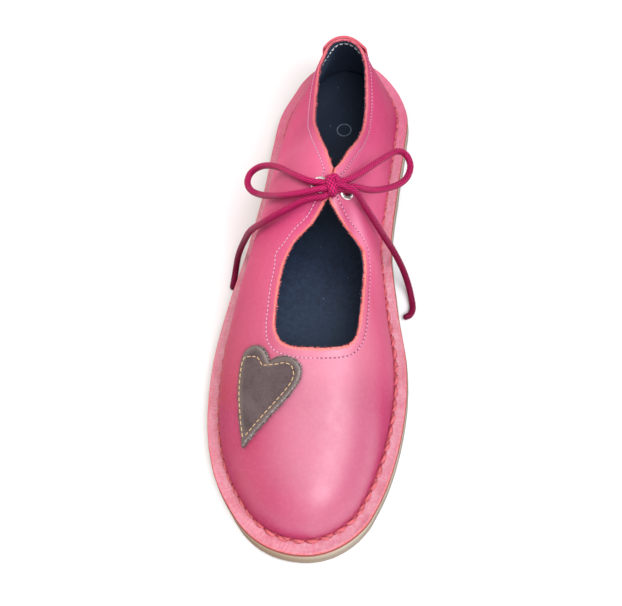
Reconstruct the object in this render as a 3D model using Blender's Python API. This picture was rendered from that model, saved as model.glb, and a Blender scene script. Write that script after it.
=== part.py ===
"""Lace-up flat pump for the right foot: a stitch-down leather shoe with a keyhole throat.

Axes: toe towards -Y, heel towards +Y, big-toe (medial) side towards +X, floor at z = 0.
Sizes below are in millimetres and become metres when the meshes are made.
"""

import math

import bmesh
import bpy
import numpy as np
from mathutils import Vector

MM = 0.001

# ---------------------------------------------------------------- driving sizes
LENGTH = 286.2          # turned-out flange, heel end to toe end
HEEL_AXIS_X = 15.4      # the axis of the foot runs from here at the heel end ...
TOE_AXIS_X = 1.7        # ... to here at the toe end
WALL = 2.0              # leather and lining together
FLANGE = 2.0            # thickness of the turned-out foot of the upper
GAP = 0.3               # clearance between pieces
SOLE_FLARE_TOP = 0.4    # how far the sole stands out past the flange, at its top ...
SOLE_FLARE_LOW = 0.9    # ... and at its widest, near the ground
INSOLE = 3.0
TOE_ROUND = 20.0        # length over which the toe and heel ends round up
HEEL_ROUND = 24.0
EYELET_HOLE = 5.0
EYELET_OUTER = 8.8
LACE = 3.4              # lace diameter
PATCH = 1.2             # heart and heel patch thickness

# Half breadths of the flange edge, measured from the axis.
BREADTH_COLUMNS = ("station", "medial", "lateral")
BREADTHS = (
    (0.05, 25.4, 23.9),
    (0.08, 31.3, 28.2),
    (0.12, 36.2, 33.4),
    (0.20, 36.6, 37.1),
    (0.30, 34.2, 39.6),
    (0.42, 32.5, 44.8),
    (0.54, 37.4, 51.8),
    (0.66, 44.1, 56.3),
    (0.72, 45.0, 56.4),
    (0.78, 43.8, 54.9),
    (0.84, 40.8, 50.9),
    (0.88, 37.7, 46.3),
    (0.92, 33.1, 39.3),
    (0.95, 28.2, 32.7),
)
HEEL_FULLNESS = (62.0, 60.0)    # medial, lateral: how bluntly the ends are rounded
TOE_FULLNESS = (67.0, 82.0)

# The sole along the foot: underside height, thickness, and width of the flange on it.
SOLE_COLUMNS = ("station", "bottom", "thick", "flange")
SOLE = (
    (0.00, 0.7, 10.4, 6.0),
    (0.04, 0.0, 11.1, 6.0),
    (0.30, 0.0, 10.7, 5.5),
    (0.46, 1.9, 8.6, 5.5),
    (0.60, 0.0, 9.8, 6.2),
    (0.78, 0.0, 9.8, 6.7),
    (0.89, 1.0, 9.6, 7.1),
    (1.00, 3.8, 9.4, 7.4),
)

# Sections of the last: top ridge, and how full and how upright the section is.
LAST_COLUMNS = ("station", "ridge_x", "ridge_z", "crown", "upright", "bulge_medial", "bulge_lateral")
LAST = (
    (0.00, 15.4, 69.0, 2.00, 1.50, 0.5, 0.5),
    (0.06, 16.9, 67.6, 2.00, 1.50, -2.5, -5.5),
    (0.12, 16.8, 66.2, 2.00, 1.50, -2.0, -4.5),
    (0.20, 16.5, 67.0, 2.00, 1.50, 0.5, -0.4),
    (0.29, 16.4, 74.5, 2.00, 1.55, 1.3, 1.3),
    (0.36, 15.8, 78.5, 2.05, 1.65, 0.8, 0.8),
    (0.41, 14.2, 79.0, 2.10, 1.75, 0.5, 0.5),
    (0.46, 12.7, 75.5, 2.15, 1.90, 0.2, 0.2),
    (0.51, 11.7, 69.5, 2.20, 2.05, 0.0, 0.0),
    (0.60, 10.1, 61.5, 2.30, 2.20, 0.0, 0.0),
    (0.68, 8.6, 55.0, 2.35, 2.30, 0.0, 0.0),
    (0.78, 6.2, 47.5, 2.40, 2.30, 0.0, 0.0),
    (0.88, 3.9, 40.5, 2.40, 2.30, 0.0, 0.0),
    (0.95, 2.5, 36.0, 2.40, 2.30, 0.0, 0.0),
    (1.00, 1.7, 32.0, 2.40, 2.30, 0.0, 0.0),
)

# The cut edge of the upper: where it lies along the foot, how far it is from the ridge
# on either side, and the station of the flange below it.
TOPLINE_COLUMNS = ("station", "medial", "lateral", "foot")
TOPLINE = (
    (0.0675, 0.0, 0.0, 0.000),      # back of the collar
    (0.0730, 5.8, 5.2, 0.018),
    (0.0870, 9.5, 8.2, 0.050),
    (0.1040, 11.4, 9.9, 0.082),
    (0.1350, 13.0, 12.8, 0.122),
    (0.2000, 13.7, 13.5, 0.195),    # side of the collar
    (0.2550, 13.2, 13.1, 0.250),
    (0.3000, 10.7, 10.2, 0.295),
    (0.3450, 6.2, 5.0, 0.340),
    (0.3790, 2.3, 1.2, 0.372),
    (0.3860, 0.6, 0.3, 0.380),      # flaps meet
    (0.4400, 0.2, 0.8, 0.435),
    (0.4470, 1.0, 1.9, 0.445),
    (0.4770, 7.9, 6.5, 0.478),
    (0.5080, 18.1, 16.1, 0.515),    # widest corner of the keyhole
    (0.5450, 19.6, 20.8, 0.555),
    (0.5900, 19.5, 22.4, 0.612),
    (0.6350, 19.0, 22.6, 0.690),
    (0.6600, 17.6, 20.6, 0.780),    # lower corner of the throat
    (0.6740, 14.2, 16.4, 0.868),
    (0.6805, 8.0, 9.0, 0.945),
    (0.6820, 0.0, 0.0, 1.000),      # middle of the throat
)

# Eyelets: station, and distance from the ridge.
EYELET_COLUMNS = ("side", "station", "offset")
EYELETS = (("medial", 0.424, 7.6), ("lateral", 0.418, -5.2))

# Outline of the heart in plan, from its tip up the outer side and back down the inner side.
HEART_COLUMNS = ("x", "y", "corner")
HEART = (
    (-27.2, -96.9, 1),      # tip
    (-29.5, -81.6, 0),
    (-30.4, -69.0, 0),
    (-29.3, -56.8, 0),
    (-26.3, -50.9, 0),
    (-21.6, -49.5, 0),      # outer lobe
    (-17.2, -52.2, 0),
    (-14.4, -57.9, 1),      # notch
    (-11.2, -56.4, 0),
    (-6.2, -56.0, 0),       # inner lobe
    (-1.1, -58.8, 0),
    (0.8, -63.8, 0),
    (-2.9, -71.8, 0),
    (-14.5, -84.2, 0),
)

# Patch over the back seam: half width along the collar and depth down the back.
HEEL_TAB_HALF = 13.2
HEEL_TAB_DEPTH = 33.0
HEEL_TAB_TAPER = 0.24   # how much of its width is lost at the lower edge

# The lace: its knot, and the routes of the two loops and the two ends.
KNOT = (14.7, 20.4, 83.0)
KNOT_SIZE = (8.2, 12.0, 7.2)
ROUTE_COLUMNS = ("x", "y", "z")
ROUTES = {
    "lace_loop_lateral": (
        (10.0, 22.4, 82.8),     # leaves the knot
        (5.0, 23.7, 81.4),
        (-0.6, 27.2, 79.0),     # over the lateral eyelet and the shoulder
        (-6.3, 32.7, 74.2),
        (-13.2, 40.4, 66.6),
        (-20.2, 46.0, 59.3),
        (-26.0, 47.9, 54.0),
        (-30.5, 46.2, 50.6),    # turns
        (-31.8, 41.4, 49.4),
        (-29.4, 36.4, 50.6),
        (-24.4, 32.0, 54.2),
        (-18.0, 26.6, 62.4),
        (-10.2, 21.2, 72.2),
        (-2.6, 19.0, 78.0),
        (3.6, 18.5, 81.0),
        (10.0, 18.8, 83.2),     # back into the knot
    ),
    "lace_loop_medial": (
        (19.4, 23.0, 82.4),     # leaves the knot
        (22.3, 24.6, 81.0),
        (28.0, 31.3, 75.6),
        (33.8, 39.6, 69.4),
        (39.8, 48.2, 62.4),
        (45.4, 55.2, 56.4),
        (50.0, 56.2, 52.2),     # turns
        (52.6, 50.8, 50.5),
        (51.3, 43.5, 51.5),
        (47.4, 37.4, 54.5),
        (41.2, 31.5, 60.4),
        (34.0, 26.4, 67.6),
        (26.8, 22.8, 77.0),
        (22.6, 21.4, 79.9),     # over the medial eyelet
        (19.4, 19.9, 80.2),     # back into the knot
    ),
    "lace_tail_lateral": (
        (10.2, 15.6, 80.6),     # leaves the knot
        (6.6, 15.8, 79.6),
        (1.0, 15.3, 77.6),
        (-5.3, 14.0, 73.8),     # down the lateral wall
        (-12.4, 12.4, 69.5),
        (-20.6, 12.4, 60.8),
        (-29.2, 16.2, 44.6),
        (-35.4, 18.7, 26.7),
        (-40.0, 17.4, 13.6),    # past the flange
        (-42.4, 13.8, 4.8),
        (-43.4, 8.6, 2.1),
        (-44.2, 2.0, 1.9),      # end, on the floor
    ),
    "lace_tail_medial": (
        (19.4, 20.2, 84.4),     # leaves the knot
        (22.6, 19.0, 83.4),
        (26.8, 18.2, 79.4),     # over the loop and the medial eyelet
        (30.0, 17.6, 68.8),
        (34.5, 15.6, 56.4),
        (39.2, 14.2, 41.4),
        (44.1, 12.2, 27.4),
        (48.6, 7.9, 15.4),      # past the flange
        (51.6, 2.4, 6.8),
        (53.4, -4.2, 2.5),
        (53.9, -9.6, 1.9),
        (52.2, -13.2, 1.9),
        (48.9, -14.4, 1.9),     # end, on the floor
    ),
}
ROUTE_STEP = 7.5        # distance between the points of a lace tube

COLOURS = {
    "outsole": ((0.62, 0.52, 0.39), 0.75, 0.0),
    "insole": ((0.012, 0.016, 0.026), 0.85, 0.0),
    "upper": ((0.66, 0.085, 0.20), 0.42, 0.0),
    "heel_tab": ((0.70, 0.10, 0.20), 0.45, 0.0),
    "heart_patch": ((0.14, 0.10, 0.095), 0.85, 0.0),
    "eyelet": ((0.75, 0.75, 0.77), 0.22, 1.0),
    "lace": ((0.42, 0.012, 0.11), 0.6, 0.0),
}


# ---------------------------------------------------------------- curves through the tables
def column(table, names, name):
    return np.array([row[names.index(name)] for row in table], float)


def smooth(xs, ys, x):
    """A curve through the rows that never overshoots them."""
    xs, ys, x = np.asarray(xs, float), np.asarray(ys, float), np.asarray(x, float)
    h, d = np.diff(xs), np.diff(ys) / np.diff(xs)
    m = np.zeros_like(ys)
    same = d[:-1] * d[1:] > 0
    w1, w2 = 2 * h[1:] + h[:-1], h[1:] + 2 * h[:-1]
    with np.errstate(divide="ignore", invalid="ignore"):
        mean = (w1 + w2) / (w1 / d[:-1] + w2 / d[1:])
    m[1:-1] = np.where(same, mean, 0.0)
    for end, a, b, ha, hb in ((0, 0, 1, 0, 1), (-1, -1, -2, -1, -2)):
        slope = ((2 * h[ha] + h[hb]) * d[a] - h[ha] * d[b]) / (h[ha] + h[hb])
        if slope * d[a] <= 0:
            slope = 0.0
        elif d[a] * d[b] < 0 and abs(slope) > 3 * abs(d[a]):
            slope = 3 * d[a]
        m[end] = slope
    x = np.clip(x, xs[0], xs[-1])
    i = np.clip(np.searchsorted(xs, x, side="right") - 1, 0, len(xs) - 2)
    t = (x - xs[i]) / h[i]
    return (
        ys[i] * (1 + 2 * t) * (1 - t) ** 2
        + ys[i + 1] * t * t * (3 - 2 * t)
        + h[i] * (m[i] * t * (1 - t) ** 2 + m[i + 1] * t * t * (t - 1))
    )


def from_table(table, names, name, x):
    return smooth(column(table, names, names[0]), column(table, names, name), x)


# ---------------------------------------------------------------- the foot's plan
def station_of(y):
    return np.clip(0.5 - np.asarray(y, float) / LENGTH, 0.0, 1.0)


def axis_x(s):
    return HEEL_AXIS_X + (TOE_AXIS_X - HEEL_AXIS_X) * s


def half_breadth(side, s):
    """Distance from the axis to the flange edge; both ends close in a round curve."""
    rows = column(BREADTHS, BREADTH_COLUMNS, "station")
    k = 0 if side == "medial" else 1
    full = column(BREADTHS, BREADTH_COLUMNS, side) / (2 * np.sqrt(rows * (1 - rows)))
    full = smooth(np.r_[0, rows, 1], np.r_[HEEL_FULLNESS[k], full, TOE_FULLNESS[k]], s)
    return full * 2 * np.sqrt(np.clip(s * (1 - s), 0, None))


def outline(side, s):
    sign = 1 if side == "medial" else -1
    return np.stack([axis_x(s) + sign * half_breadth(side, s), LENGTH * (0.5 - s)], -1)


def outward(side, s):
    """Unit normal of the flange edge, pointing away from the foot."""
    turn = np.arccos(1 - 2 * np.clip(s, 0, 1))
    step = 1e-3
    ends = []
    for t in (turn - step, turn + step):
        other = "lateral" if side == "medial" else "medial"
        past = (t < 0) | (t > np.pi)
        bent = (1 - np.cos(t)) / 2
        ends.append(np.where(past[..., None], outline(other, bent), outline(side, bent)))
    d = ends[1] - ends[0]
    n = np.stack([-d[..., 1], d[..., 0]], -1)
    n /= np.linalg.norm(n, axis=-1, keepdims=True)
    return n if side == "medial" else -n


def sole_column(name, s):
    return from_table(SOLE, SOLE_COLUMNS, name, s)


def sole_top(y):
    s = station_of(y)
    return sole_column("bottom", s) + sole_column("thick", s)


def flange_top(y):
    return sole_top(y) + GAP + FLANGE


def crease(side, s):
    """Where the wall of the upper rises from the flange."""
    return outline(side, s) - outward(side, s) * sole_column("flange", s)[..., None]


def crease_lookup():
    turn = np.linspace(0, np.pi, 721)
    s = (1 - np.cos(turn)) / 2
    found = {}
    for side in ("medial", "lateral"):
        line = crease(side, s)
        order = np.argsort(line[:, 1])
        found[side] = (line[order, 1], line[order, 0])
    ends = [crease("medial", np.array([e]))[0, 1] for e in (0.0, 1.0)]
    return found, ends


CREASE, (HEEL_Y, TOE_Y) = crease_lookup()


# ---------------------------------------------------------------- the last
def last(name, s):
    return from_table(LAST, LAST_COLUMNS, name, s)


def ridge_x(y):
    return last("ridge_x", station_of(y))


def surface_z(x, y):
    """Height of the outside of the upper over a point of the plan."""
    x, y = np.asarray(x, float), np.asarray(y, float)
    s = station_of(y)
    crown, upright, mid = last("crown", s), last("upright", s), last("ridge_x", s)
    low = flange_top(y)
    rise = last("ridge_z", s) - low
    for past, length in (((HEEL_Y - y), HEEL_ROUND), ((y - TOE_Y), TOE_ROUND)):
        q = np.clip(past / length, 0, 1)
        rise = rise * (1 - (1 - q) ** crown) ** (1 / upright)
    edge_m = np.interp(y, *CREASE["medial"]) - mid
    edge_l = mid - np.interp(y, *CREASE["lateral"])
    t = np.where(x > mid, (x - mid) / np.maximum(edge_m, 1e-6), (mid - x) / np.maximum(edge_l, 1e-6))
    return low + rise * (1 - np.clip(t, 0, 1) ** crown) ** (1 / upright)


def topline(side, u):
    """Plan of the cut edge, u counted in rows of its table, and the flange station below it."""
    rows = np.arange(len(TOPLINE))
    s = smooth(rows, column(TOPLINE, TOPLINE_COLUMNS, "station"), u)
    off = smooth(rows, column(TOPLINE, TOPLINE_COLUMNS, side), u)
    turn = smooth(rows, np.arccos(1 - 2 * column(TOPLINE, TOPLINE_COLUMNS, "foot")), u)
    y = LENGTH * (0.5 - s)
    x = ridge_x(y) + (off if side == "medial" else -off)
    return np.stack([x, y], -1), (1 - np.cos(turn)) / 2


def wall_lines(side, u, v):
    """Points of the outside of the upper: one line up the wall for each u, v its share of the way."""
    top, foot = topline(side, u)
    start, out = crease(side, foot), outward(side, foot)
    along = np.linspace(0, 1, 241) ** 2.4
    plan = start[:, None] + along[None, :, None] * (top - start)[:, None]
    z = surface_z(plan[..., 0], plan[..., 1])
    low, high = z[:, :1], z[:, -1:]
    bulge = last("bulge_" + side, foot)[:, None]
    peak = np.where(bulge < 0, 1.3, 0.8)
    swell = bulge * np.sin(np.pi * np.clip((z - low) / (high - low), 0, 1) ** peak)
    plan = plan + out[:, None] * swell[..., None]
    full = np.concatenate([plan, z[..., None]], -1)
    length = np.concatenate([np.zeros((len(full), 1)), np.cumsum(np.linalg.norm(np.diff(full, axis=1), axis=-1), axis=1)], 1)
    points = np.empty((len(full), len(v), 3))
    for i, line in enumerate(full):
        for k in range(3):
            points[i, :, k] = np.interp(v * length[i, -1], length[i], line[:, k])
    return points, length[:, -1]


def grid_normals(points, closed):
    """Unit normals of a grid of points, first index along the foot's edge, second up the wall."""
    if closed:
        du = np.roll(points, -1, 0) - np.roll(points, 1, 0)
    else:
        du = np.gradient(points, axis=0)
    n = np.cross(np.gradient(points, axis=1), du)
    return n / np.maximum(np.linalg.norm(n, axis=-1, keepdims=True), 1e-9)


def loop_samples(per_row):
    """The rows of the topline table, subdivided, once round the shoe from the back."""
    u = np.linspace(0, len(TOPLINE) - 1, per_row * (len(TOPLINE) - 1) + 1)
    return [("medial", u[:-1]), ("lateral", u[:0:-1])]


# ---------------------------------------------------------------- making objects
def make_material(name):
    colour, rough, metal = COLOURS[name]
    mat = bpy.data.materials.get(name) or bpy.data.materials.new(name)
    mat.use_nodes = True
    shader = mat.node_tree.nodes["Principled BSDF"]
    shader.inputs["Base Color"].default_value = (*colour, 1.0)
    shader.inputs["Roughness"].default_value = rough
    shader.inputs["Metallic"].default_value = metal
    mat.diffuse_color = (*colour, 1.0)
    return mat


def add_object(name, data, colour, parent, flat_angle=0.6):
    obj = bpy.data.objects.new(name, data)
    bpy.context.scene.collection.objects.link(obj)
    obj.parent = parent
    data.materials.append(make_material(colour))
    if obj.type == "MESH":
        data.shade_smooth()
        data.set_sharp_from_angle(angle=flat_angle)
    return obj


def mesh_from(name, points, faces):
    mesh = bpy.data.meshes.new(name)
    mesh.from_pydata([tuple(p * MM) for p in np.asarray(points, float)], [], faces)
    bm = bmesh.new()
    bm.from_mesh(mesh)
    bmesh.ops.remove_doubles(bm, verts=bm.verts, dist=1e-7)
    bmesh.ops.recalc_face_normals(bm, faces=bm.faces)
    bm.to_mesh(mesh)
    bm.free()
    return mesh


def band(a, b, count, closed=True):
    """Quads between two rows of count vertices that start at index a and b."""
    steps = range(count if closed else count - 1)
    return [(a + i, a + (i + 1) % count, b + (i + 1) % count, b + i) for i in steps]


def ladder(first, n, flip):
    """Quads across a closed loop of 2 * n points, from the heel point to the toe point."""
    at = lambda i: first + i % (2 * n)
    faces = [(at(0), at(1), at(-1)), (at(n), at(n + 1), at(n - 1))]
    faces += [(at(i), at(i + 1), at(-i - 1), at(-i)) for i in range(1, n - 1)]
    return [f[::-1] for f in faces] if flip else faces


def plan_loop(n, inset):
    """2 * n points round the foot, from the heel along the medial side, moved in from the flange edge."""
    s = (1 - np.cos(np.linspace(0, np.pi, n + 1))) / 2
    move = inset(s) if callable(inset) else np.full_like(s, inset)
    med = outline("medial", s) - outward("medial", s) * move[:, None]
    lat = outline("lateral", s) - outward("lateral", s) * move[:, None]
    return np.concatenate([med, lat[-2:0:-1]])


def stacked_slab(name, n, rows):
    """A closed slab: rows of (inset, height of y), from the top face down the side to the bottom face."""
    points, faces = [], []
    for inset, height in rows:
        plan = plan_loop(n, inset)
        points.append(np.column_stack([plan, height(plan[:, 1])]))
    count = 2 * n
    faces += ladder(0, n, False)
    for r in range(len(rows) - 1):
        faces += band(r * count, (r + 1) * count, count)
    faces += ladder((len(rows) - 1) * count, n, True)
    return mesh_from(name, np.concatenate(points), faces)


def build_outsole(parent):
    bottom = lambda y: sole_column("bottom", station_of(y))
    rows = (
        (-SOLE_FLARE_TOP, sole_top),
        (-SOLE_FLARE_LOW, lambda y: bottom(y) + 1.9),
        (-SOLE_FLARE_LOW + 0.2, lambda y: bottom(y) + 0.7),
        (-SOLE_FLARE_LOW + 0.9, bottom),
    )
    return add_object("outsole", stacked_slab("outsole", 46, rows), "outsole", parent)


def build_insole(parent):
    inset = lambda s: sole_column("flange", s) + WALL + 0.7
    low = lambda y: sole_top(y) + GAP
    rows = (
        (lambda s: inset(s) + 0.6, lambda y: low(y) + INSOLE),
        (inset, lambda y: low(y) + INSOLE - 0.6),
        (inset, low),
    )
    return add_object("insole", stacked_slab("insole", 34, rows), "insole", parent)


def build_upper(parent, cutters):
    """Flange, wall and cut edge: one closed section swept once round the foot."""
    v = np.linspace(0, 1, 11) ** 1.1
    outer, edges = [], []
    for side, u in loop_samples(3):
        outer.append(wall_lines(side, u, v)[0])
        edges.append(outline(side, topline(side, u)[1]))
    outer, edge = np.concatenate(outer), np.concatenate(edges)
    normal = grid_normals(outer, True)
    inner = outer - normal * WALL
    flat = normal[:, 1, :2] / np.linalg.norm(normal[:, 1, :2], axis=1, keepdims=True)
    y_edge = flange_top(edge[:, 1])
    foot = outer[:, 0]
    base = np.column_stack([foot[:, :2] - flat * WALL, foot[:, 2] - FLANGE])
    rows = [np.column_stack([edge, y_edge])]
    rows += [outer[:, k] for k in range(len(v))]
    rows += [inner[:, k] for k in range(len(v) - 1, 0, -1)]
    rows += [base, np.column_stack([edge, y_edge - FLANGE])]
    count = len(edge)
    faces = []
    for r in range(len(rows)):
        faces += band(r * count, (r + 1) % len(rows) * count, count)
    obj = add_object("upper", mesh_from("upper", np.concatenate(rows), faces), "upper", parent)
    for cutter in cutters:
        cut = obj.modifiers.new("eyelet_hole", "BOOLEAN")
        cut.operation, cut.solver, cut.object = "DIFFERENCE", "EXACT", cutter
    return obj


def surface_frame(x, y):
    """Point and unit normal of the outside of the upper over a point of the plan."""
    e = 0.2
    n = np.array([
        float(surface_z(x - e, y) - surface_z(x + e, y)) / (2 * e),
        float(surface_z(x, y - e) - surface_z(x, y + e)) / (2 * e),
        1.0,
    ])
    return np.array([x, y, float(surface_z(x, y))]), n / np.linalg.norm(n)


def eyelet_frame(row):
    side, station, offset = row
    y = LENGTH * (0.5 - station)
    return surface_frame(float(ridge_x(y)) + offset, y)


def turned(name, profile, place, axis, segments):
    """A profile of (radius, height) turned about an axis."""
    z = Vector(axis)
    frame = z.to_track_quat("Z", "Y")
    points = []
    for radius, height in profile:
        for i in range(segments):
            a = 2 * math.pi * i / segments
            points.append(np.array(place) + np.array(frame @ Vector((radius * math.cos(a), radius * math.sin(a), height))))
    faces = []
    for r in range(len(profile)):
        faces += band(r * segments, (r + 1) % len(profile) * segments, segments)
    return mesh_from(name, points, faces)


def build_eyelets(parent):
    """The rings, and the cutters for their holes in the flaps."""
    hole, outer = EYELET_HOLE / 2, EYELET_OUTER / 2
    profile = (
        (hole, -4.3), (hole, 1.0), (hole + 0.25, 1.35), (hole + 0.9, 1.5),
        (outer - 0.35, 1.25), (outer, 0.95), (outer, 0.7), (hole + 0.4, 0.7),
        (hole + 0.4, -3.7), (outer - 1.0, -3.7), (outer - 1.0, -4.3),
    )
    cutters = []
    for row in EYELETS:
        place, axis = eyelet_frame(row)
        add_object("eyelet_" + row[0], turned("eyelet_" + row[0], profile, place, axis, 20), "eyelet", parent)
        r = hole + 0.4 + GAP
        frame = Vector(axis).to_track_quat("Z", "Y")
        bm = bmesh.new()
        bmesh.ops.create_cone(bm, cap_ends=True, segments=20, radius1=r * MM, radius2=r * MM, depth=14 * MM)
        mesh = bpy.data.meshes.new("hole_" + row[0])
        bm.to_mesh(mesh)
        bm.free()
        cutter = bpy.data.objects.new("hole_" + row[0], mesh)
        bpy.context.scene.collection.objects.link(cutter)
        cutter.location = Vector(place * MM)
        cutter.rotation_mode = "QUATERNION"
        cutter.rotation_quaternion = frame
        cutter.hide_render, cutter.display_type = True, "WIRE"
        cutter.parent = parent
        cutters.append(cutter)
    return cutters


def smooth_outline(rows, names, per_step):
    """A closed curve through the rows; it turns sharply at the corners and smoothly between them."""
    p = np.array([(r[names.index("x")], r[names.index("y")]) for r in rows], float)
    corner = column(rows, names, "corner") > 0
    n, curve = len(p), []
    for i in range(n):
        a, b = p[i], p[(i + 1) % n]
        before, after = p[i - 1], p[(i + 2) % n]
        m0 = (b - a) if corner[i] else (b - before) / 2
        m1 = (b - a) if corner[(i + 1) % n] else (after - a) / 2
        for t in np.linspace(0, 1, per_step, endpoint=False):
            curve.append(
                (2 * t**3 - 3 * t**2 + 1) * a + (t**3 - 2 * t**2 + t) * m0
                + (3 * t**2 - 2 * t**3) * b + (t**3 - t**2) * m1
            )
    return np.array(curve)


def build_heart(parent):
    """A patch between two surfaces a little outside the upper's own."""
    rim = smooth_outline(HEART, HEART_COLUMNS, 2)
    middle = rim.mean(0)
    rings = [1.0, 0.72, 0.4]
    plan = [middle + k * (rim - middle) for k in rings]
    layers = []
    for height in (GAP + 0.15, GAP + 0.15 + PATCH):
        for ring in plan:
            layers.append([np.add(*(f if j == 0 else f * height for j, f in enumerate(surface_frame(*q)))) for q in ring])
        layers.append([np.add(*(f if j == 0 else f * height for j, f in enumerate(surface_frame(*middle))))])
    count = len(rim)
    low = 0
    high = count * len(rings) + 1
    faces = band(high, low, count)
    for base, flip in ((low, True), (high, False)):
        part = []
        for r in range(len(rings) - 1):
            part += band(base + r * count, base + (r + 1) * count, count)
        hub = base + len(rings) * count
        last_ring = base + (len(rings) - 1) * count
        part += [(last_ring + i, last_ring + (i + 1) % count, hub) for i in range(count)]
        faces += [f[::-1] for f in part] if flip else part
    points = np.concatenate([np.array(layer) for layer in layers])
    add_object("heart_patch", mesh_from("heart_patch", points, faces), "heart_patch", parent)


def heel_tab_grid(nu, nv):
    """Points on the upper's outside under the heel patch; its lower corners are rounded."""
    u = np.linspace(0, 5, 201)
    reach = {}
    for side in ("medial", "lateral"):
        rim = wall_lines(side, u, np.array([1.0]))[0][:, 0]
        far = np.concatenate([[0], np.cumsum(np.linalg.norm(np.diff(rim, axis=0), axis=1))])
        reach[side] = (far, u)
    across = np.linspace(-1, 1, nu)
    points = np.empty((nu, nv, 3))
    for i, a in enumerate(across):
        side = "medial" if a >= 0 else "lateral"
        deep = HEEL_TAB_DEPTH * (1 - 0.42 * abs(a) ** 4)
        for j, down in enumerate(np.linspace(1, 0, nv)):
            at = np.array([np.interp(abs(a) * HEEL_TAB_HALF * (1 - HEEL_TAB_TAPER * down), *reach[side])])
            full = wall_lines(side, at, np.array([1.0]))[1][0]
            points[i, j] = wall_lines(side, at, np.array([1 - down * deep / full]))[0][0, 0]
    return points


def build_heel_tab(parent):
    grid = heel_tab_grid(17, 7)
    normal = grid_normals(grid, False)
    nu, nv = grid.shape[:2]
    away = (GAP + 0.1 + 1.0 * np.abs(np.linspace(-1, 1, nu)) ** 4)[:, None, None]
    under, over = grid + normal * away, grid + normal * (away + PATCH)
    points = np.concatenate([under.reshape(-1, 3), over.reshape(-1, 3)])
    at = lambda k, i, j: k * nu * nv + i * nv + j
    faces = []
    for i in range(nu - 1):
        for j in range(nv - 1):
            faces.append((at(1, i, j), at(1, i + 1, j), at(1, i + 1, j + 1), at(1, i, j + 1)))
            faces.append((at(0, i, j), at(0, i, j + 1), at(0, i + 1, j + 1), at(0, i + 1, j)))
    for i in range(nu - 1):
        for j in (0, nv - 1):
            faces.append((at(0, i, j), at(0, i + 1, j), at(1, i + 1, j), at(1, i, j)))
    for j in range(nv - 1):
        for i in (0, nu - 1):
            faces.append((at(0, i, j), at(0, i, j + 1), at(1, i, j + 1), at(1, i, j)))
    add_object("heel_tab", mesh_from("heel_tab", points, faces), "heel_tab", parent)


def curve_points(rows, step):
    """Points about a step apart on a smooth curve through the rows."""
    p = np.array(rows, float)
    q = np.concatenate([[2 * p[0] - p[1]], p, [2 * p[-1] - p[-2]]])
    fine = []
    for a, b, c, d in zip(q[:-3], q[1:-2], q[2:-1], q[3:]):
        for t in np.linspace(0, 1, 24, endpoint=False):
            fine.append(0.5 * (2 * b + (c - a) * t + (2 * a - 5 * b + 4 * c - d) * t**2 + (3 * b - a - 3 * c + d) * t**3))
    fine = np.array(fine + [p[-1]])
    along = np.concatenate([[0], np.cumsum(np.linalg.norm(np.diff(fine, axis=0), axis=1))])
    at = np.linspace(0, along[-1], max(2, round(along[-1] / step) + 1))
    return np.stack([np.interp(at, along, fine[:, k]) for k in range(3)], -1)


def build_lace_run(name, rows, parent):
    """A loop or an end of the lace: a round tube along its route."""
    curve = bpy.data.curves.new(name, "CURVE")
    curve.dimensions, curve.bevel_depth, curve.bevel_resolution, curve.use_fill_caps = "3D", LACE / 2 * MM, 2, True
    points = curve_points(rows, ROUTE_STEP)
    spline = curve.splines.new("POLY")
    spline.points.add(len(points) - 1)
    for place, point in zip(points, spline.points):
        point.co = (*(place * MM), 1.0)
    return add_object(name, curve, "lace", parent)


def build_lace_bar(parent):
    """The stretch of lace under the flaps, and up through both eyelets."""
    (pm, nm), (pl, nl) = (eyelet_frame(row) for row in EYELETS)
    across = (pm - pl) / np.linalg.norm(pm - pl)
    route = [
        pl + nl * 1.75, pl - nl * 2.0, pl - nl * 5.6, pl - nl * 8.6 + across * 2.0,
        (pl - nl * 10.2 + pm - nm * 10.2) / 2,
        pm - nm * 8.6 - across * 2.0, pm - nm * 5.6, pm - nm * 2.0, pm + nm * 1.75,
    ]
    line = curve_points(route, 1.6)
    sides, rings = 10, []
    ahead = np.gradient(line, axis=0)
    ahead /= np.linalg.norm(ahead, axis=1, keepdims=True)
    aside = np.cross(ahead[0], [0.0, 1.0, 0.0])
    for place, way in zip(line, ahead):
        aside = aside - way * (aside @ way)
        aside /= np.linalg.norm(aside)
        other = np.cross(way, aside)
        turn = 2 * np.pi * np.arange(sides) / sides
        rings.append(place + LACE / 2 * (np.cos(turn)[:, None] * aside + np.sin(turn)[:, None] * other))
    faces = [tuple(range(sides))[::-1], tuple(range((len(line) - 1) * sides, len(line) * sides))]
    for r in range(len(line) - 1):
        faces += band(r * sides, (r + 1) * sides, sides)
    add_object("lace_bar", mesh_from("lace_bar", np.concatenate(rings), faces), "lace", parent, 1.2)


def build_knot(parent):
    bm = bmesh.new()
    bmesh.ops.create_uvsphere(bm, u_segments=14, v_segments=8, radius=0.5)
    bmesh.ops.scale(bm, vec=Vector(KNOT_SIZE) * MM, verts=bm.verts)
    mesh = bpy.data.meshes.new("lace_knot")
    bm.to_mesh(mesh)
    bm.free()
    add_object("lace_knot", mesh, "lace", parent, 1.2).location = Vector(KNOT) * MM


def main():
    for obj in list(bpy.data.objects):
        bpy.data.objects.remove(obj, do_unlink=True)
    shoe = bpy.data.objects.new("shoe", None)
    bpy.context.scene.collection.objects.link(shoe)
    build_outsole(shoe)
    build_insole(shoe)
    cutters = build_eyelets(shoe)
    build_upper(shoe, cutters)
    build_heart(shoe)
    build_heel_tab(shoe)
    build_lace_bar(shoe)
    build_knot(shoe)
    for name, rows in ROUTES.items():
        build_lace_run(name, rows, shoe)


if __name__ == "__main__":
    main()
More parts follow.
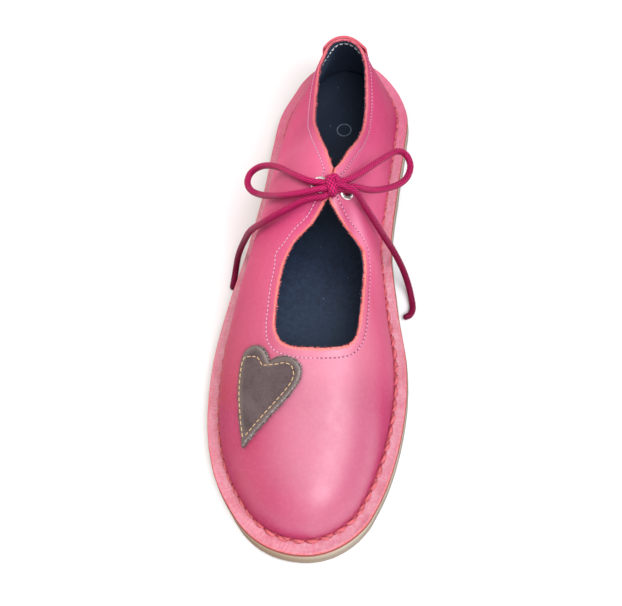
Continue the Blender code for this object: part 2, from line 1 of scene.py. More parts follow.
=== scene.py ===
"""Looks of the lace-up flat pump for the right foot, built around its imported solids.

Axes: toe towards -Y, heel towards +Y, big-toe (medial) side towards +X, floor at z = 0.
Sizes below are in millimetres and become metres when the meshes are made.
"""

import math

import bmesh
import bpy
import numpy as np
from mathutils import Matrix, Vector
from mathutils.bvhtree import BVHTree
from mathutils.kdtree import KDTree


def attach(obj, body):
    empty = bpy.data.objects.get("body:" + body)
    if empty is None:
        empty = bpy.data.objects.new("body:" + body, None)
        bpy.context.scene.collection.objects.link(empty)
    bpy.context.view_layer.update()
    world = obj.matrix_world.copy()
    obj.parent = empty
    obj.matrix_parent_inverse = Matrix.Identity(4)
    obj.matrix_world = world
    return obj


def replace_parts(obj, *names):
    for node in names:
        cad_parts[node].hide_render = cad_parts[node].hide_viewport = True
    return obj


MM = 0.001

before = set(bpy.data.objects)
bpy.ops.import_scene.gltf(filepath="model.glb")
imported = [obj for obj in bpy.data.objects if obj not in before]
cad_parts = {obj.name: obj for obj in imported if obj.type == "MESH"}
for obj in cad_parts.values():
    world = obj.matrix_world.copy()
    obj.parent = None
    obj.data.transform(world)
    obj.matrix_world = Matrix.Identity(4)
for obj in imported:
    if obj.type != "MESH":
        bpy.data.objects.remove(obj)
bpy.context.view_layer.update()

# ================================================================ sizes of the solids
LENGTH = 286.2
HEEL_AXIS_X = 15.4
TOE_AXIS_X = 1.7
WALL = 2.0
FLANGE = 2.0
GAP = 0.3
SOLE_FLARE_TOP = 0.4
SOLE_FLARE_LOW = 0.9
INSOLE = 3.0
TOE_ROUND = 20.0
HEEL_ROUND = 24.0
EYELET_HOLE = 5.0
EYELET_OUTER = 8.8
LACE = 3.4
PATCH = 1.2

BREADTH_COLUMNS = ("station", "medial", "lateral")
BREADTHS = (
    (0.05, 25.4, 23.9),
    (0.08, 31.3, 28.2),
    (0.12, 36.2, 33.4),
    (0.20, 36.6, 37.1),
    (0.30, 34.2, 39.6),
    (0.42, 32.5, 44.8),
    (0.54, 37.4, 51.8),
    (0.66, 44.1, 56.3),
    (0.72, 45.0, 56.4),
    (0.78, 43.8, 54.9),
    (0.84, 40.8, 50.9),
    (0.88, 37.7, 46.3),
    (0.92, 33.1, 39.3),
    (0.95, 28.2, 32.7),
)
HEEL_FULLNESS = (62.0, 60.0)
TOE_FULLNESS = (67.0, 82.0)

SOLE_COLUMNS = ("station", "bottom", "thick", "flange")
SOLE = (
    (0.00, 0.7, 10.4, 6.0),
    (0.04, 0.0, 11.1, 6.0),
    (0.30, 0.0, 10.7, 5.5),
    (0.46, 1.9, 8.6, 5.5),
    (0.60, 0.0, 9.8, 6.2),
    (0.78, 0.0, 9.8, 6.7),
    (0.89, 1.0, 9.6, 7.1),
    (1.00, 3.8, 9.4, 7.4),
)

LAST_COLUMNS = ("station", "ridge_x", "ridge_z", "crown", "upright", "bulge_medial", "bulge_lateral")
LAST = (
    (0.00, 15.4, 69.0, 2.00, 1.50, 0.5, 0.5),
    (0.06, 16.9, 67.6, 2.00, 1.50, -2.5, -5.5),
    (0.12, 16.8, 66.2, 2.00, 1.50, -2.0, -4.5),
    (0.20, 16.5, 67.0, 2.00, 1.50, 0.5, -0.4),
    (0.29, 16.4, 74.5, 2.00, 1.55, 1.3, 1.3),
    (0.36, 15.8, 78.5, 2.05, 1.65, 0.8, 0.8),
    (0.41, 14.2, 79.0, 2.10, 1.75, 0.5, 0.5),
    (0.46, 12.7, 75.5, 2.15, 1.90, 0.2, 0.2),
    (0.51, 11.7, 69.5, 2.20, 2.05, 0.0, 0.0),
    (0.60, 10.1, 61.5, 2.30, 2.20, 0.0, 0.0),
    (0.68, 8.6, 55.0, 2.35, 2.30, 0.0, 0.0),
    (0.78, 6.2, 47.5, 2.40, 2.30, 0.0, 0.0),
    (0.88, 3.9, 40.5, 2.40, 2.30, 0.0, 0.0),
    (0.95, 2.5, 36.0, 2.40, 2.30, 0.0, 0.0),
    (1.00, 1.7, 32.0, 2.40, 2.30, 0.0, 0.0),
)

TOPLINE_COLUMNS = ("station", "medial", "lateral", "foot")
TOPLINE = (
    (0.0675, 0.0, 0.0, 0.000),      # back of the collar
    (0.0730, 5.8, 5.2, 0.018),
    (0.0870, 9.5, 8.2, 0.050),
    (0.1040, 11.4, 9.9, 0.082),
    (0.1350, 13.0, 12.8, 0.122),
    (0.2000, 13.7, 13.5, 0.195),    # side of the collar
    (0.2550, 13.2, 13.1, 0.250),
    (0.3000, 10.7, 10.2, 0.295),
    (0.3450, 6.2, 5.0, 0.340),
    (0.3790, 2.3, 1.2, 0.372),
    (0.3860, 0.6, 0.3, 0.380),      # flaps meet
    (0.4400, 0.2, 0.8, 0.435),
    (0.4470, 1.0, 1.9, 0.445),
    (0.4770, 7.9, 6.5, 0.478),
    (0.5080, 18.1, 16.1, 0.515),    # widest corner of the keyhole
    (0.5450, 19.6, 20.8, 0.555),
    (0.5900, 19.5, 22.4, 0.612),
    (0.6350, 19.0, 22.6, 0.690),
    (0.6600, 17.6, 20.6, 0.780),    # lower corner of the throat
    (0.6740, 14.2, 16.4, 0.868),
    (0.6805, 8.0, 9.0, 0.945),
    (0.6820, 0.0, 0.0, 1.000),      # middle of the throat
)

EYELETS = (("medial", 0.424, 7.6), ("lateral", 0.418, -5.2))

HEART_COLUMNS = ("x", "y", "corner")
HEART = (
    (-27.2, -96.9, 1),      # tip
    (-29.5, -81.6, 0),
    (-30.4, -69.0, 0),
    (-29.3, -56.8, 0),
    (-26.3, -50.9, 0),
    (-21.6, -49.5, 0),      # outer lobe
    (-17.2, -52.2, 0),
    (-14.4, -57.9, 1),      # notch
    (-11.2, -56.4, 0),
    (-6.2, -56.0, 0),       # inner lobe
    (-1.1, -58.8, 0),
    (0.8, -63.8, 0),
    (-2.9, -71.8, 0),
    (-14.5, -84.2, 0),
)

HEEL_TAB_HALF = 13.2
HEEL_TAB_DEPTH = 33.0
HEEL_TAB_TAPER = 0.24

KNOT = (14.7, 20.4, 83.0)
ROUTES = {
    "lace_loop_lateral": (
        (10.0, 22.4, 82.8),     # leaves the knot
        (5.0, 23.7, 81.4),
        (-0.6, 27.2, 79.0),     # over the lateral eyelet and the shoulder
        (-6.3, 32.7, 74.2),
        (-13.2, 40.4, 66.6),
        (-20.2, 46.0, 59.3),
        (-26.0, 47.9, 54.0),
        (-30.5, 46.2, 50.6),    # turns
        (-31.8, 41.4, 49.4),
        (-29.4, 36.4, 50.6),
        (-24.4, 32.0, 54.2),
        (-18.0, 26.6, 62.4),
        (-10.2, 21.2, 72.2),
        (-2.6, 19.0, 78.0),
        (3.6, 18.5, 81.0),
        (10.0, 18.8, 83.2),     # back into the knot
    ),
    "lace_loop_medial": (
        (19.4, 23.0, 82.4),     # leaves the knot
        (22.3, 24.6, 81.0),
        (28.0, 31.3, 75.6),
        (33.8, 39.6, 69.4),
        (39.8, 48.2, 62.4),
        (45.4, 55.2, 56.4),
        (50.0, 56.2, 52.2),     # turns
        (52.6, 50.8, 50.5),
        (51.3, 43.5, 51.5),
        (47.4, 37.4, 54.5),
        (41.2, 31.5, 60.4),
        (34.0, 26.4, 67.6),
        (26.8, 22.8, 77.0),
        (22.6, 21.4, 79.9),     # over the medial eyelet
        (19.4, 19.9, 80.2),     # back into the knot
    ),
    "lace_tail_lateral": (
        (10.2, 15.6, 80.6),     # leaves the knot
        (6.6, 15.8, 79.6),
        (1.0, 15.3, 77.6),
        (-5.3, 14.0, 73.8),     # down the lateral wall
        (-12.4, 12.4, 69.5),
        (-20.6, 12.4, 60.8),
        (-29.2, 16.2, 44.6),
        (-35.4, 18.7, 26.7),
        (-40.0, 17.4, 13.6),    # past the flange
        (-42.4, 13.8, 4.8),
        (-43.4, 8.6, 2.1),
        (-44.2, 2.0, 1.9),      # end, on the floor
    ),
    "lace_tail_medial": (
        (19.4, 20.2, 84.4),     # leaves the knot
        (22.6, 19.0, 83.4),
        (26.8, 18.2, 79.4),     # over the loop and the medial eyelet
        (30.0, 17.6, 68.8),
        (34.5, 15.6, 56.4),
        (39.2, 14.2, 41.4),
        (44.1, 12.2, 27.4),
        (48.6, 7.9, 15.4),      # past the flange
        (51.6, 2.4, 6.8),
        (53.4, -4.2, 2.5),
        (53.9, -9.6, 1.9),
        (52.2, -13.2, 1.9),
        (48.9, -14.4, 1.9),     # end, on the floor
    ),
}

# ================================================================ sizes of the finish
LEATHER = 1.5               # the leather alone; the lining makes up the rest of the wall
LIP = 0.45                  # rounding of the cut edge
FILLET = 1.5                # radius where the wall turns out into the flange
SEAM_PITCH = 7.0            # sole seam: one stitch and its hole
SEAM_THREAD = 2.4
TOP_SEAM = 4.3              # topline seam: distance from the cut edge
TOP_PITCH = 2.1
TOP_SEAM_CORNERS = ((-12.6, -47.2, 1.3, 4.0), (-7.6, -8.6, 2.0, 3.5))
TOP_THREAD = 0.52
HEART_SEAM = 3.0
HEART_PITCH = 2.9
HEART_THREAD = 0.56
RING_AT = (15.4, 95.6)      # plain round mark on the insole
RING_SIZE = 7.8

# Soft troughs (negative) and ridges of the leather: where, which way they run, and how big.
CREASE_COLUMNS = ("x", "y", "heading", "long", "wide", "height")
CREASES = (
    (25.0, 8.0, -72.0, 13.0, 3.6, -1.0),       # medial flap, below the eyelet
    (29.5, 3.0, -66.0, 16.0, 4.5, 0.70),
    (2.0, 10.0, -118.0, 12.0, 4.0, -0.35),     # lateral flap
    (33.0, -62.0, -86.0, 22.0, 9.0, -0.40),    # flex of the ball, medial
    (-36.0, -40.0, -95.0, 26.0, 8.0, -0.35),   # flex of the ball, lateral
    (31.0, 62.0, 92.0, 20.0, 6.0, -0.30),      # quarter, medial
    (-3.5, 66.0, 96.0, 22.0, 6.0, -0.30),      # quarter, lateral
)


def srgb(r, g, b):
    """Linear colour of an 8-bit screen colour."""
    out = []
    for c in (r, g, b):
        c /= 255.0
        out.append(c / 12.92 if c <= 0.04045 else ((c + 0.055) / 1.055) ** 2.4)
    return (*out, 1.0)


# ================================================================ curves through the tables
def column(table, names, name):
    return np.array([row[names.index(name)] for row in table], float)


def smooth(xs, ys, x):
    """A curve through the rows that never overshoots them."""
    xs, ys, x = np.asarray(xs, float), np.asarray(ys, float), np.asarray(x, float)
    h, d = np.diff(xs), np.diff(ys) / np.diff(xs)
    m = np.zeros_like(ys)
    same = d[:-1] * d[1:] > 0
    w1, w2 = 2 * h[1:] + h[:-1], h[1:] + 2 * h[:-1]
    with np.errstate(divide="ignore", invalid="ignore"):
        mean = (w1 + w2) / (w1 / d[:-1] + w2 / d[1:])
    m[1:-1] = np.where(same, mean, 0.0)
    for end, a, b, ha, hb in ((0, 0, 1, 0, 1), (-1, -1, -2, -1, -2)):
        slope = ((2 * h[ha] + h[hb]) * d[a] - h[ha] * d[b]) / (h[ha] + h[hb])
        if slope * d[a] <= 0:
            slope = 0.0
        elif d[a] * d[b] < 0 and abs(slope) > 3 * abs(d[a]):
            slope = 3 * d[a]
        m[end] = slope
    x = np.clip(x, xs[0], xs[-1])
    i = np.clip(np.searchsorted(xs, x, side="right") - 1, 0, len(xs) - 2)
    t = (x - xs[i]) / h[i]
    return (
        ys[i] * (1 + 2 * t) * (1 - t) ** 2
        + ys[i + 1] * t * t * (3 - 2 * t)
        + h[i] * (m[i] * t * (1 - t) ** 2 + m[i + 1] * t * t * (t - 1))
    )


def from_table(table, names, name, x):
    return smooth(column(table, names, names[0]), column(table, names, name), x)


def station_of(y):
    return np.clip(0.5 - np.asarray(y, float) / LENGTH, 0.0, 1.0)


def axis_x(s):
    return HEEL_AXIS_X + (TOE_AXIS_X - HEEL_AXIS_X) * s


def half_breadth(side, s):
    rows = column(BREADTHS, BREADTH_COLUMNS, "station")
    k = 0 if side == "medial" else 1
    full = column(BREADTHS, BREADTH_COLUMNS, side) / (2 * np.sqrt(rows * (1 - rows)))
    full = smooth(np.r_[0, rows, 1], np.r_[HEEL_FULLNESS[k], full, TOE_FULLNESS[k]], s)
    return full * 2 * np.sqrt(np.clip(s * (1 - s), 0, None))


def outline(side, s):
    sign = 1 if side == "medial" else -1
    return np.stack([axis_x(s) + sign * half_breadth(side, s), LENGTH * (0.5 - s)], -1)


def outward(side, s):
    """Unit normal of the flange edge, pointing away from the foot."""
    turn = np.arccos(1 - 2 * np.clip(s, 0, 1))
    step = 1e-3
    ends = []
    for t in (turn - step, turn + step):
        other = "lateral" if side == "medial" else "medial"
        past = (t < 0) | (t > np.pi)
        bent = (1 - np.cos(t)) / 2
        ends.append(np.where(past[..., None], outline(other, bent), outline(side, bent)))
    d = ends[1] - ends[0]
    n = np.stack([-d[..., 1], d[..., 0]], -1)
    n /= np.linalg.norm(n, axis=-1, keepdims=True)
    return n if side == "medial" else -n


def sole_column(name, s):
    return from_table(SOLE, SOLE_COLUMNS, name, s)


def sole_bottom(y):
    return sole_column("bottom", station_of(y))


def sole_top(y):
    s = station_of(y)
    return sole_column("bottom", s) + sole_column("thick", s)


def flange_top(y):
    return sole_top(y) + GAP + FLANGE


def crease(side, s):
    """Where the wall of the upper rises from the flange."""
    return outline(side, s) - outward(side, s) * sole_column("flange", s)[..., None]


def crease_lookup():
    turn = np.linspace(0, np.pi, 721)
    s = (1 - np.cos(turn)) / 2
    found = {}
    for side in ("medial", "lateral"):
        line = crease(side, s)
        order = np.argsort(line[:, 1])
        found[side] = (line[order, 1], line[order, 0])
    ends = [crease("medial", np.array([e]))[0, 1] for e in (0.0, 1.0)]
    return found, ends


CREASE, (HEEL_Y, TOE_Y) = crease_lookup()


def last(name, s):
    return from_table(LAST, LAST_COLUMNS, name, s)


def ridge_x(y):
    return last("ridge_x", station_of(y))


def surface_z(x, y):
    """Height of the outside of the upper over a point of the plan."""
    x, y = np.asarray(x, float), np.asarray(y, float)
    s = station_of(y)
    crown, upright, mid = last("crown", s), last("upright", s), last("ridge_x", s)
    low = flange_top(y)
    rise = last("ridge_z", s) - low
    for past, length in (((HEEL_Y - y), HEEL_ROUND), ((y - TOE_Y), TOE_ROUND)):
        q = np.clip(past / length, 0, 1)
        rise = rise * (1 - (1 - q) ** crown) ** (1 / upright)
    edge_m = np.interp(y, *CREASE["medial"]) - mid
    edge_l = mid - np.interp(y, *CREASE["lateral"])
    t = np.where(x > mid, (x - mid) / np.maximum(edge_m, 1e-6), (mid - x) / np.maximum(edge_l, 1e-6))
    return low + rise * (1 - np.clip(t, 0, 1) ** crown) ** (1 / upright)


def topline(side, u):
    rows = np.arange(len(TOPLINE))
    s = smooth(rows, column(TOPLINE, TOPLINE_COLUMNS, "station"), u)
    off = smooth(rows, column(TOPLINE, TOPLINE_COLUMNS, side), u)
    turn = smooth(rows, np.arccos(1 - 2 * column(TOPLINE, TOPLINE_COLUMNS, "foot")), u)
    y = LENGTH * (0.5 - s)
    x = ridge_x(y) + (off if side == "medial" else -off)
    return np.stack([x, y], -1), (1 - np.cos(turn)) / 2


def wall_curves(side, u):
    """Lines up the outside of the upper, one for each u, and the distance along each."""
    top, foot = topline(side, u)
    start, out = crease(side, foot), outward(side, foot)
    along = np.linspace(0, 1, 241) ** 2.4
    plan = start[:, None] + along[None, :, None] * (top - start)[:, None]
    z = surface_z(plan[..., 0], plan[..., 1])
    low, high = z[:, :1], z[:, -1:]
    bulge = last("bulge_" + side, foot)[:, None]
    peak = np.where(bulge < 0, 1.3, 0.8)
    swell = bulge * np.sin(np.pi * np.clip((z - low) / (high - low), 0, 1) ** peak)
    plan = plan + out[:, None] * swell[..., None]
    full = np.concatenate([plan, z[..., None]], -1)
    far = np.cumsum(np.linalg.norm(np.diff(full, axis=1), axis=-1), axis=1)
    return full, np.concatenate([np.zeros((len(full), 1)), far], 1)


def along_wall(full, far, d):
    """Points at the distances d, a row of them for each line."""
    out = np.empty((*d.shape, 3))
    for i in range(len(full)):
        for k in range(3):
            out[i, :, k] = np.interp(d[i], far[i], full[i, :, k])
    return out


def grid_normals(points, closed):
    if closed:
        du = np.roll(points, -1, 0) - np.roll(points, 1, 0)
    else:
        du = np.gradient(points, axis=0)
    n = np.cross(np.gradient(points, axis=1), du)
    return n / np.maximum(np.linalg.norm(n, axis=-1, keepdims=True), 1e-9)


def loop_samples(per_row):
    """The rows of the topline table, subdivided, once round the shoe from the back."""
    u = np.linspace(0, len(TOPLINE) - 1, per_row * (len(TOPLINE) - 1) + 1)
    return [("medial", u[:-1]), ("lateral", u[:0:-1])]


def whole_wall(per_row):
    """Lines, distances, flange edge, crease and outward direction, once round the shoe."""
    parts = []
    for side, u in loop_samples(per_row):
        full, far = wall_curves(side, u)
        foot = topline(side, u)[1]
        parts.append((full, far, outline(side, foot), crease(side, foot), outward(side, foot)))
    return [np.concatenate(k) for k in zip(*parts)]


def surface_frame(x, y):
    e = 0.2
    n = np.array([
        float(surface_z(x - e, y) - surface_z(x + e, y)) / (2 * e),
        float(surface_z(x, y - e) - surface_z(x, y + e)) / (2 * e),
        1.0,
    ])
    return np.array([x, y, float(surface_z(x, y))]), n / np.linalg.norm(n)


def eyelet_frame(row):
    side, station, offset = row
    y = LENGTH * (0.5 - station)
    return surface_frame(float(ridge_x(y)) + offset, y)


def smooth_outline(rows, names, per_step):
    """A closed curve through the rows; it turns sharply at the corners and smoothly between them."""
    p = np.array([(r[names.index("x")], r[names.index("y")]) for r in rows], float)
    corner = column(rows, names, "corner") > 0
    n, curve = len(p), []
    for i in range(n):
        a, b = p[i], p[(i + 1) % n]
        before, after = p[i - 1], p[(i + 2) % n]
        m0 = (b - a) if corner[i] else (b - before) / 2
        m1 = (b - a) if corner[(i + 1) % n] else (after - a) / 2
        for t in np.linspace(0, 1, per_step, endpoint=False):
            curve.append(
                (2 * t**3 - 3 * t**2 + 1) * a + (t**3 - 2 * t**2 + t) * m0
                + (3 * t**2 - 2 * t**3) * b + (t**3 - t**2) * m1
            )
    return np.array(curve)


def resample(points, step, closed=False):
    """Points an even step apart on a polyline, and their distance along it."""
    p = np.concatenate([points, points[:1]]) if closed else points
    far = np.concatenate([[0], np.cumsum(np.linalg.norm(np.diff(p, axis=0), axis=1))])
    n = max(2, round(far[-1] / step))
    at = np.linspace(0, far[-1], n + (0 if closed else 1), endpoint=not closed)
    return np.stack([np.interp(at, far, p[:, k]) for k in range(p.shape[1])], -1), at


def curve_points(rows, step):
    """Points about a step apart on a smooth curve through the rows."""
    p = np.array(rows, float)
    q = np.concatenate([[2 * p[0] - p[1]], p, [2 * p[-1] - p[-2]]])
    fine = []
    for a, b, c, d in zip(q[:-3], q[1:-2], q[2:-1], q[3:]):
        for t in np.linspace(0, 1, 24, endpoint=False):
            fine.append(0.5 * (2 * b + (c - a) * t + (2 * a - 5 * b + 4 * c - d) * t**2 + (3 * b - a - 3 * c + d) * t**3))
    return resample(np.array(fine + [p[-1]]), step)[0]


def softened(path, passes):
    """The same path with its small kinks smoothed away; the ends stay."""
    p = path.copy()
    for _ in range(passes):
        p[1:-1] = 0.25 * p[:-2] + 0.5 * p[1:-1] + 0.25 * p[2:]
    return p


def step_up(x, a, b):
    t = np.clip((np.asarray(x, float) - a) / (b - a), 0, 1)
    return t * t * (3 - 2 * t)


def bell(x, width):
    return np.exp(-((np.asarray(x, float) / width) ** 2))


# ================================================================ making meshes
def grid_faces(nu, nv, closed_u=False, closed_v=False, first=0):
    """Quads of a grid whose vertex (i, j) is first + i * nv + j."""
    i = np.arange(nu if closed_u else nu - 1)
    j = np.arange(nv if closed_v else nv - 1)
    i, j = np.meshgrid(i, j, indexing="ij")
    i2, j2 = (i + 1) % nu, (j + 1) % nv
    quads = np.stack([i * nv + j, i2 * nv + j, i2 * nv + j2, i * nv + j2], -1)
    return first + quads.reshape(-1, 4)


def mesh_object(name, points, faces, material, floats=None, sharp=None):
    """A smooth-shaded object. faces is a list of arrays, each of faces with the same number of corners."""
    points = np.asarray(points, float).reshape(-1, 3)
    faces = [np.asarray(f, np.int64) for f in faces if len(f)]
    volume = 0.0
    for f in faces:
        a = points[f[:, 0]]
        for k in range(1, f.shape[1] - 1):
            volume += np.einsum("ij,ij->i", a, np.cross(points[f[:, k]], points[f[:, k + 1]])).sum()
    if volume < 0:
        faces = [f[:, ::-1] for f in faces]
    sizes = np.concatenate([np.full(len(f), f.shape[1]) for f in faces])
    corners = np.concatenate([f.ravel() for f in faces]).astype(np.int32)
    mesh = bpy.data.meshes.new(name)
    mesh.vertices.add(len(points))
    mesh.vertices.foreach_set("co", (points * MM).astype(np.float32).ravel())
    mesh.loops.add(len(corners))
    mesh.loops.foreach_set("vertex_index", corners)
    mesh.polygons.add(len(sizes))
    mesh.polygons.foreach_set("loop_start", np.concatenate([[0], np.cumsum(sizes)[:-1]]).astype(np.int32))
    for key, values in (floats or {}).items():
        mesh.attributes.new(key, "FLOAT", "POINT").data.foreach_set("value", np.asarray(values, np.float32).ravel())
    mesh.update(calc_edges=True)
    mesh.validate()
    mesh.shade_smooth()
    if sharp is not None:
        mesh.set_sharp_from_angle(angle=sharp)
    mesh.materials.append(material)
    obj = bpy.data.objects.new(name, mesh)
    bpy.context.scene.collection.objects.link(obj)
    return obj


def tube_frames(path, start_aside, closed=False):
    """Tangent, and two directions across it that turn as little as they can, at each point of a path."""
    ahead = (np.roll(path, -1, 0) - np.roll(path, 1, 0)) if closed else np.gradient(path, axis=0)
    ahead /= np.linalg.norm(ahead, axis=1, keepdims=True)
    aside = np.empty_like(path)
    side = np.asarray(start_aside, float)
    for i, way in enumerate(ahead):
        side = side - way * (side @ way)
        side /= np.linalg.norm(side)
        aside[i] = side
    return ahead, aside, np.cross(ahead, aside)


def braid_height(turn, dist, carriers=8, pitch=2.1):
    """Relief of a round braid: two sets of yarns that wind opposite ways and pass over and under each other."""
    a = (carriers * turn + 2 * np.pi * dist / pitch) / 2
    b = (carriers * turn - 2 * np.pi * dist / pitch) / 2
    one = np.abs(np.cos(a)) * (0.62 + 0.38 * np.cos(b) * np.sign(np.cos(a)))
    two = np.abs(np.cos(b)) * (0.62 - 0.38 * np.cos(a) * np.sign(np.cos(b)))
    return np.clip(np.maximum(one, two), 0, 1)


LEE = np.array([-0.10, -0.78, -0.62])  # the side of the lace that lies in its own shade


def braided_tube(name, path, material, closed=False, tips=(False, False), flatten=None, sides=32):
    """A round braided cord along a path. flatten is a list of (direction, share) at each point."""
    ahead, aside, other = tube_frames(path, (0.13, 0.21, 1.0), closed)
    far = np.concatenate([[0], np.cumsum(np.linalg.norm(np.diff(path, axis=0), axis=1))])
    turn = 2 * np.pi * np.arange(sides) / sides
    relief = braid_height(turn[None, :], far[:, None])
    radius = LACE / 2 * (0.86 + 0.19 * relief)
    seal = np.zeros(len(path))
    for end, cut in zip((far, far[-1] - far), tips):
        if cut:
            seal = np.maximum(seal, 1 - step_up(end, 1.2, 2.2))
            radius = radius * (1 - 0.42 * bell(end, 0.55) - 0.10 * (1 - step_up(end, 1.0, 2.6)))[:, None]
    ring = np.cos(turn)[None, :, None] * aside[:, None] + np.sin(turn)[None, :, None] * other[:, None]
    points = path[:, None] + radius[..., None] * ring
    if flatten is not None:
        for direction, share in flatten:
            d = np.asarray(direction, float) / np.linalg.norm(direction)
            off = points - path[:, None]
            points = points + (off @ d)[..., None] * d * (np.asarray(share)[..., None, None] - 1)
    n = len(path)
    faces = [grid_faces(n, sides, closed, True)]
    if not closed:
        faces += [np.arange(sides)[None, ::-1], ((n - 1) * sides + np.arange(sides))[None]]
    floats = {
        "braid": relief,
        "seal": np.repeat(seal[:, None], sides, 1),
        "far": np.repeat(far[:, None], sides, 1),
        "turn": np.repeat(turn[None, :], n, 0),
        "lee": step_up(ring @ LEE, -0.30, 0.62) * (0.68 if any(tips) else 1.0) + (0.32 if any(tips) else 0.0),
    }
    return mesh_object(name, points, faces, material, floats, 1.0)


def stitches(name, pieces, radius, material, sides=9, rings=13, lift=0.55, dip=1.5, twists=2.0, ply=0.13, flat=1.0, taper=0.35, power=5):
    """Sewn threads: each piece is (points on the surface, normals) from one hole to the next."""
    t = np.linspace(0, 1, rings)
    turn = 2 * np.pi * np.arange(sides) / sides
    all_points, all_relief = [], []
    thickness = np.broadcast_to(radius, (len(pieces),))
    for number, (line, normal) in enumerate(pieces):
        radius = thickness[number]
        at = np.linspace(0, 1, len(line))
        p = np.stack([np.interp(t, at, line[:, k]) for k in range(3)], -1)
        n = np.stack([np.interp(t, at, normal[:, k]) for k in range(3)], -1)
        n /= np.linalg.norm(n, axis=1, keepdims=True)
        sink = np.abs(2 * t - 1) ** power
        p = p + n * (radius * (lift - (lift + dip) * sink))[:, None]
        ahead = np.gradient(p, axis=0)
        ahead /= np.maximum(np.linalg.norm(ahead, axis=1, keepdims=True), 1e-9)
        across = np.cross(ahead, n)
        across /= np.maximum(np.linalg.norm(across, axis=1, keepdims=True), 1e-9)
        up = np.cross(across, ahead)
        phase = 2 * turn[None, :] + 2 * np.pi * (twists * t[:, None] + 0.37 * number)
        relief = np.abs(np.cos(phase / 2))
        r = radius * (1 - ply + ply * relief) * (1 - taper * sink)[:, None]
        all_points.append(
            p[:, None]
            + (r * np.cos(turn))[..., None] * across[:, None]
            + (r * np.sin(turn))[..., None] * up[:, None] * flat
        )
        all_relief.append(relief)
    points = np.array(all_points)
    count, block = len(points), rings * sides
    one = grid_faces(rings, sides, False, True)
    shift = (np.arange(count) * block)[:, None, None]
    faces = [
        (one[None] + shift).reshape(-1, 4),
        np.arange(sides)[None, ::-1] + (np.arange(count) * block)[:, None],
        (rings - 1) * sides + np.arange(sides)[None] + (np.arange(count) * block)[:, None],
    ]
    return mesh_object(name, points, faces, material, {"ply": np.array(all_relief)})


def fibres(name, bases, ways, lengths, radii, material, flat=None, sides=5):
    """Loose fibres or nibs, joined: tapered, and bent a little. flat holds a direction in which each is thinner."""
    rings = 4
    t = np.linspace(0, 1, rings)
    turn = 2 * np.pi * np.arange(sides) / sides
    ways = ways / np.linalg.norm(ways, axis=1, keepdims=True)
    helper = np.where(np.abs(ways[:, 2:3]) < 0.9, [[0.0, 0.0, 1.0]], [[1.0, 0.0, 0.0]]) if flat is None else flat
    one = np.cross(ways, helper)
    one /= np.maximum(np.linalg.norm(one, axis=1, keepdims=True), 1e-9)
    two = np.cross(one, ways)
    bend = 0.22 * np.sin(np.arange(len(bases)) * 2.399)[:, None]
    middle = bases[:, None] + (ways * lengths[:, None])[:, None] * t[None, :, None] + (one * bend * lengths[:, None])[:, None] * (t**2)[None, :, None]
    r = radii[:, None] * (1 - 0.82 * t[None] ** 1.4)
    thin = 1.0 if flat is None else 0.55
    points = (
        middle[:, :, None]
        + (r[..., None] * np.cos(turn))[..., None] * one[:, None, None]
        + (r[..., None] * np.sin(turn) * thin)[..., None] * two[:, None, None]
    )
    count, size = len(bases), rings * sides
    shift = np.arange(count) * size
    faces = [
        (grid_faces(rings, sides, False, True)[None] + shift[:, None, None]).reshape(-1, 4),
        np.arange(sides)[None, ::-1] + shift[:, None],
        (rings - 1) * sides + np.arange(sides)[None] + shift[:, None],
    ]
    return mesh_object(name, points, faces, material)


def clean(obj):
    """Joins points that meet, drops what has no area, and turns faces outward."""
    bm = bmesh.new()
    bm.from_mesh(obj.data)
    bmesh.ops.remove_doubles(bm, verts=bm.verts, dist=2e-6)
    bmesh.ops.dissolve_degenerate(bm, edges=bm.edges, dist=1e-7)
    bmesh.ops.recalc_face_normals(bm, faces=bm.faces)
    bm.to_mesh(obj.data)
    bm.free()
    obj.data.shade_smooth()


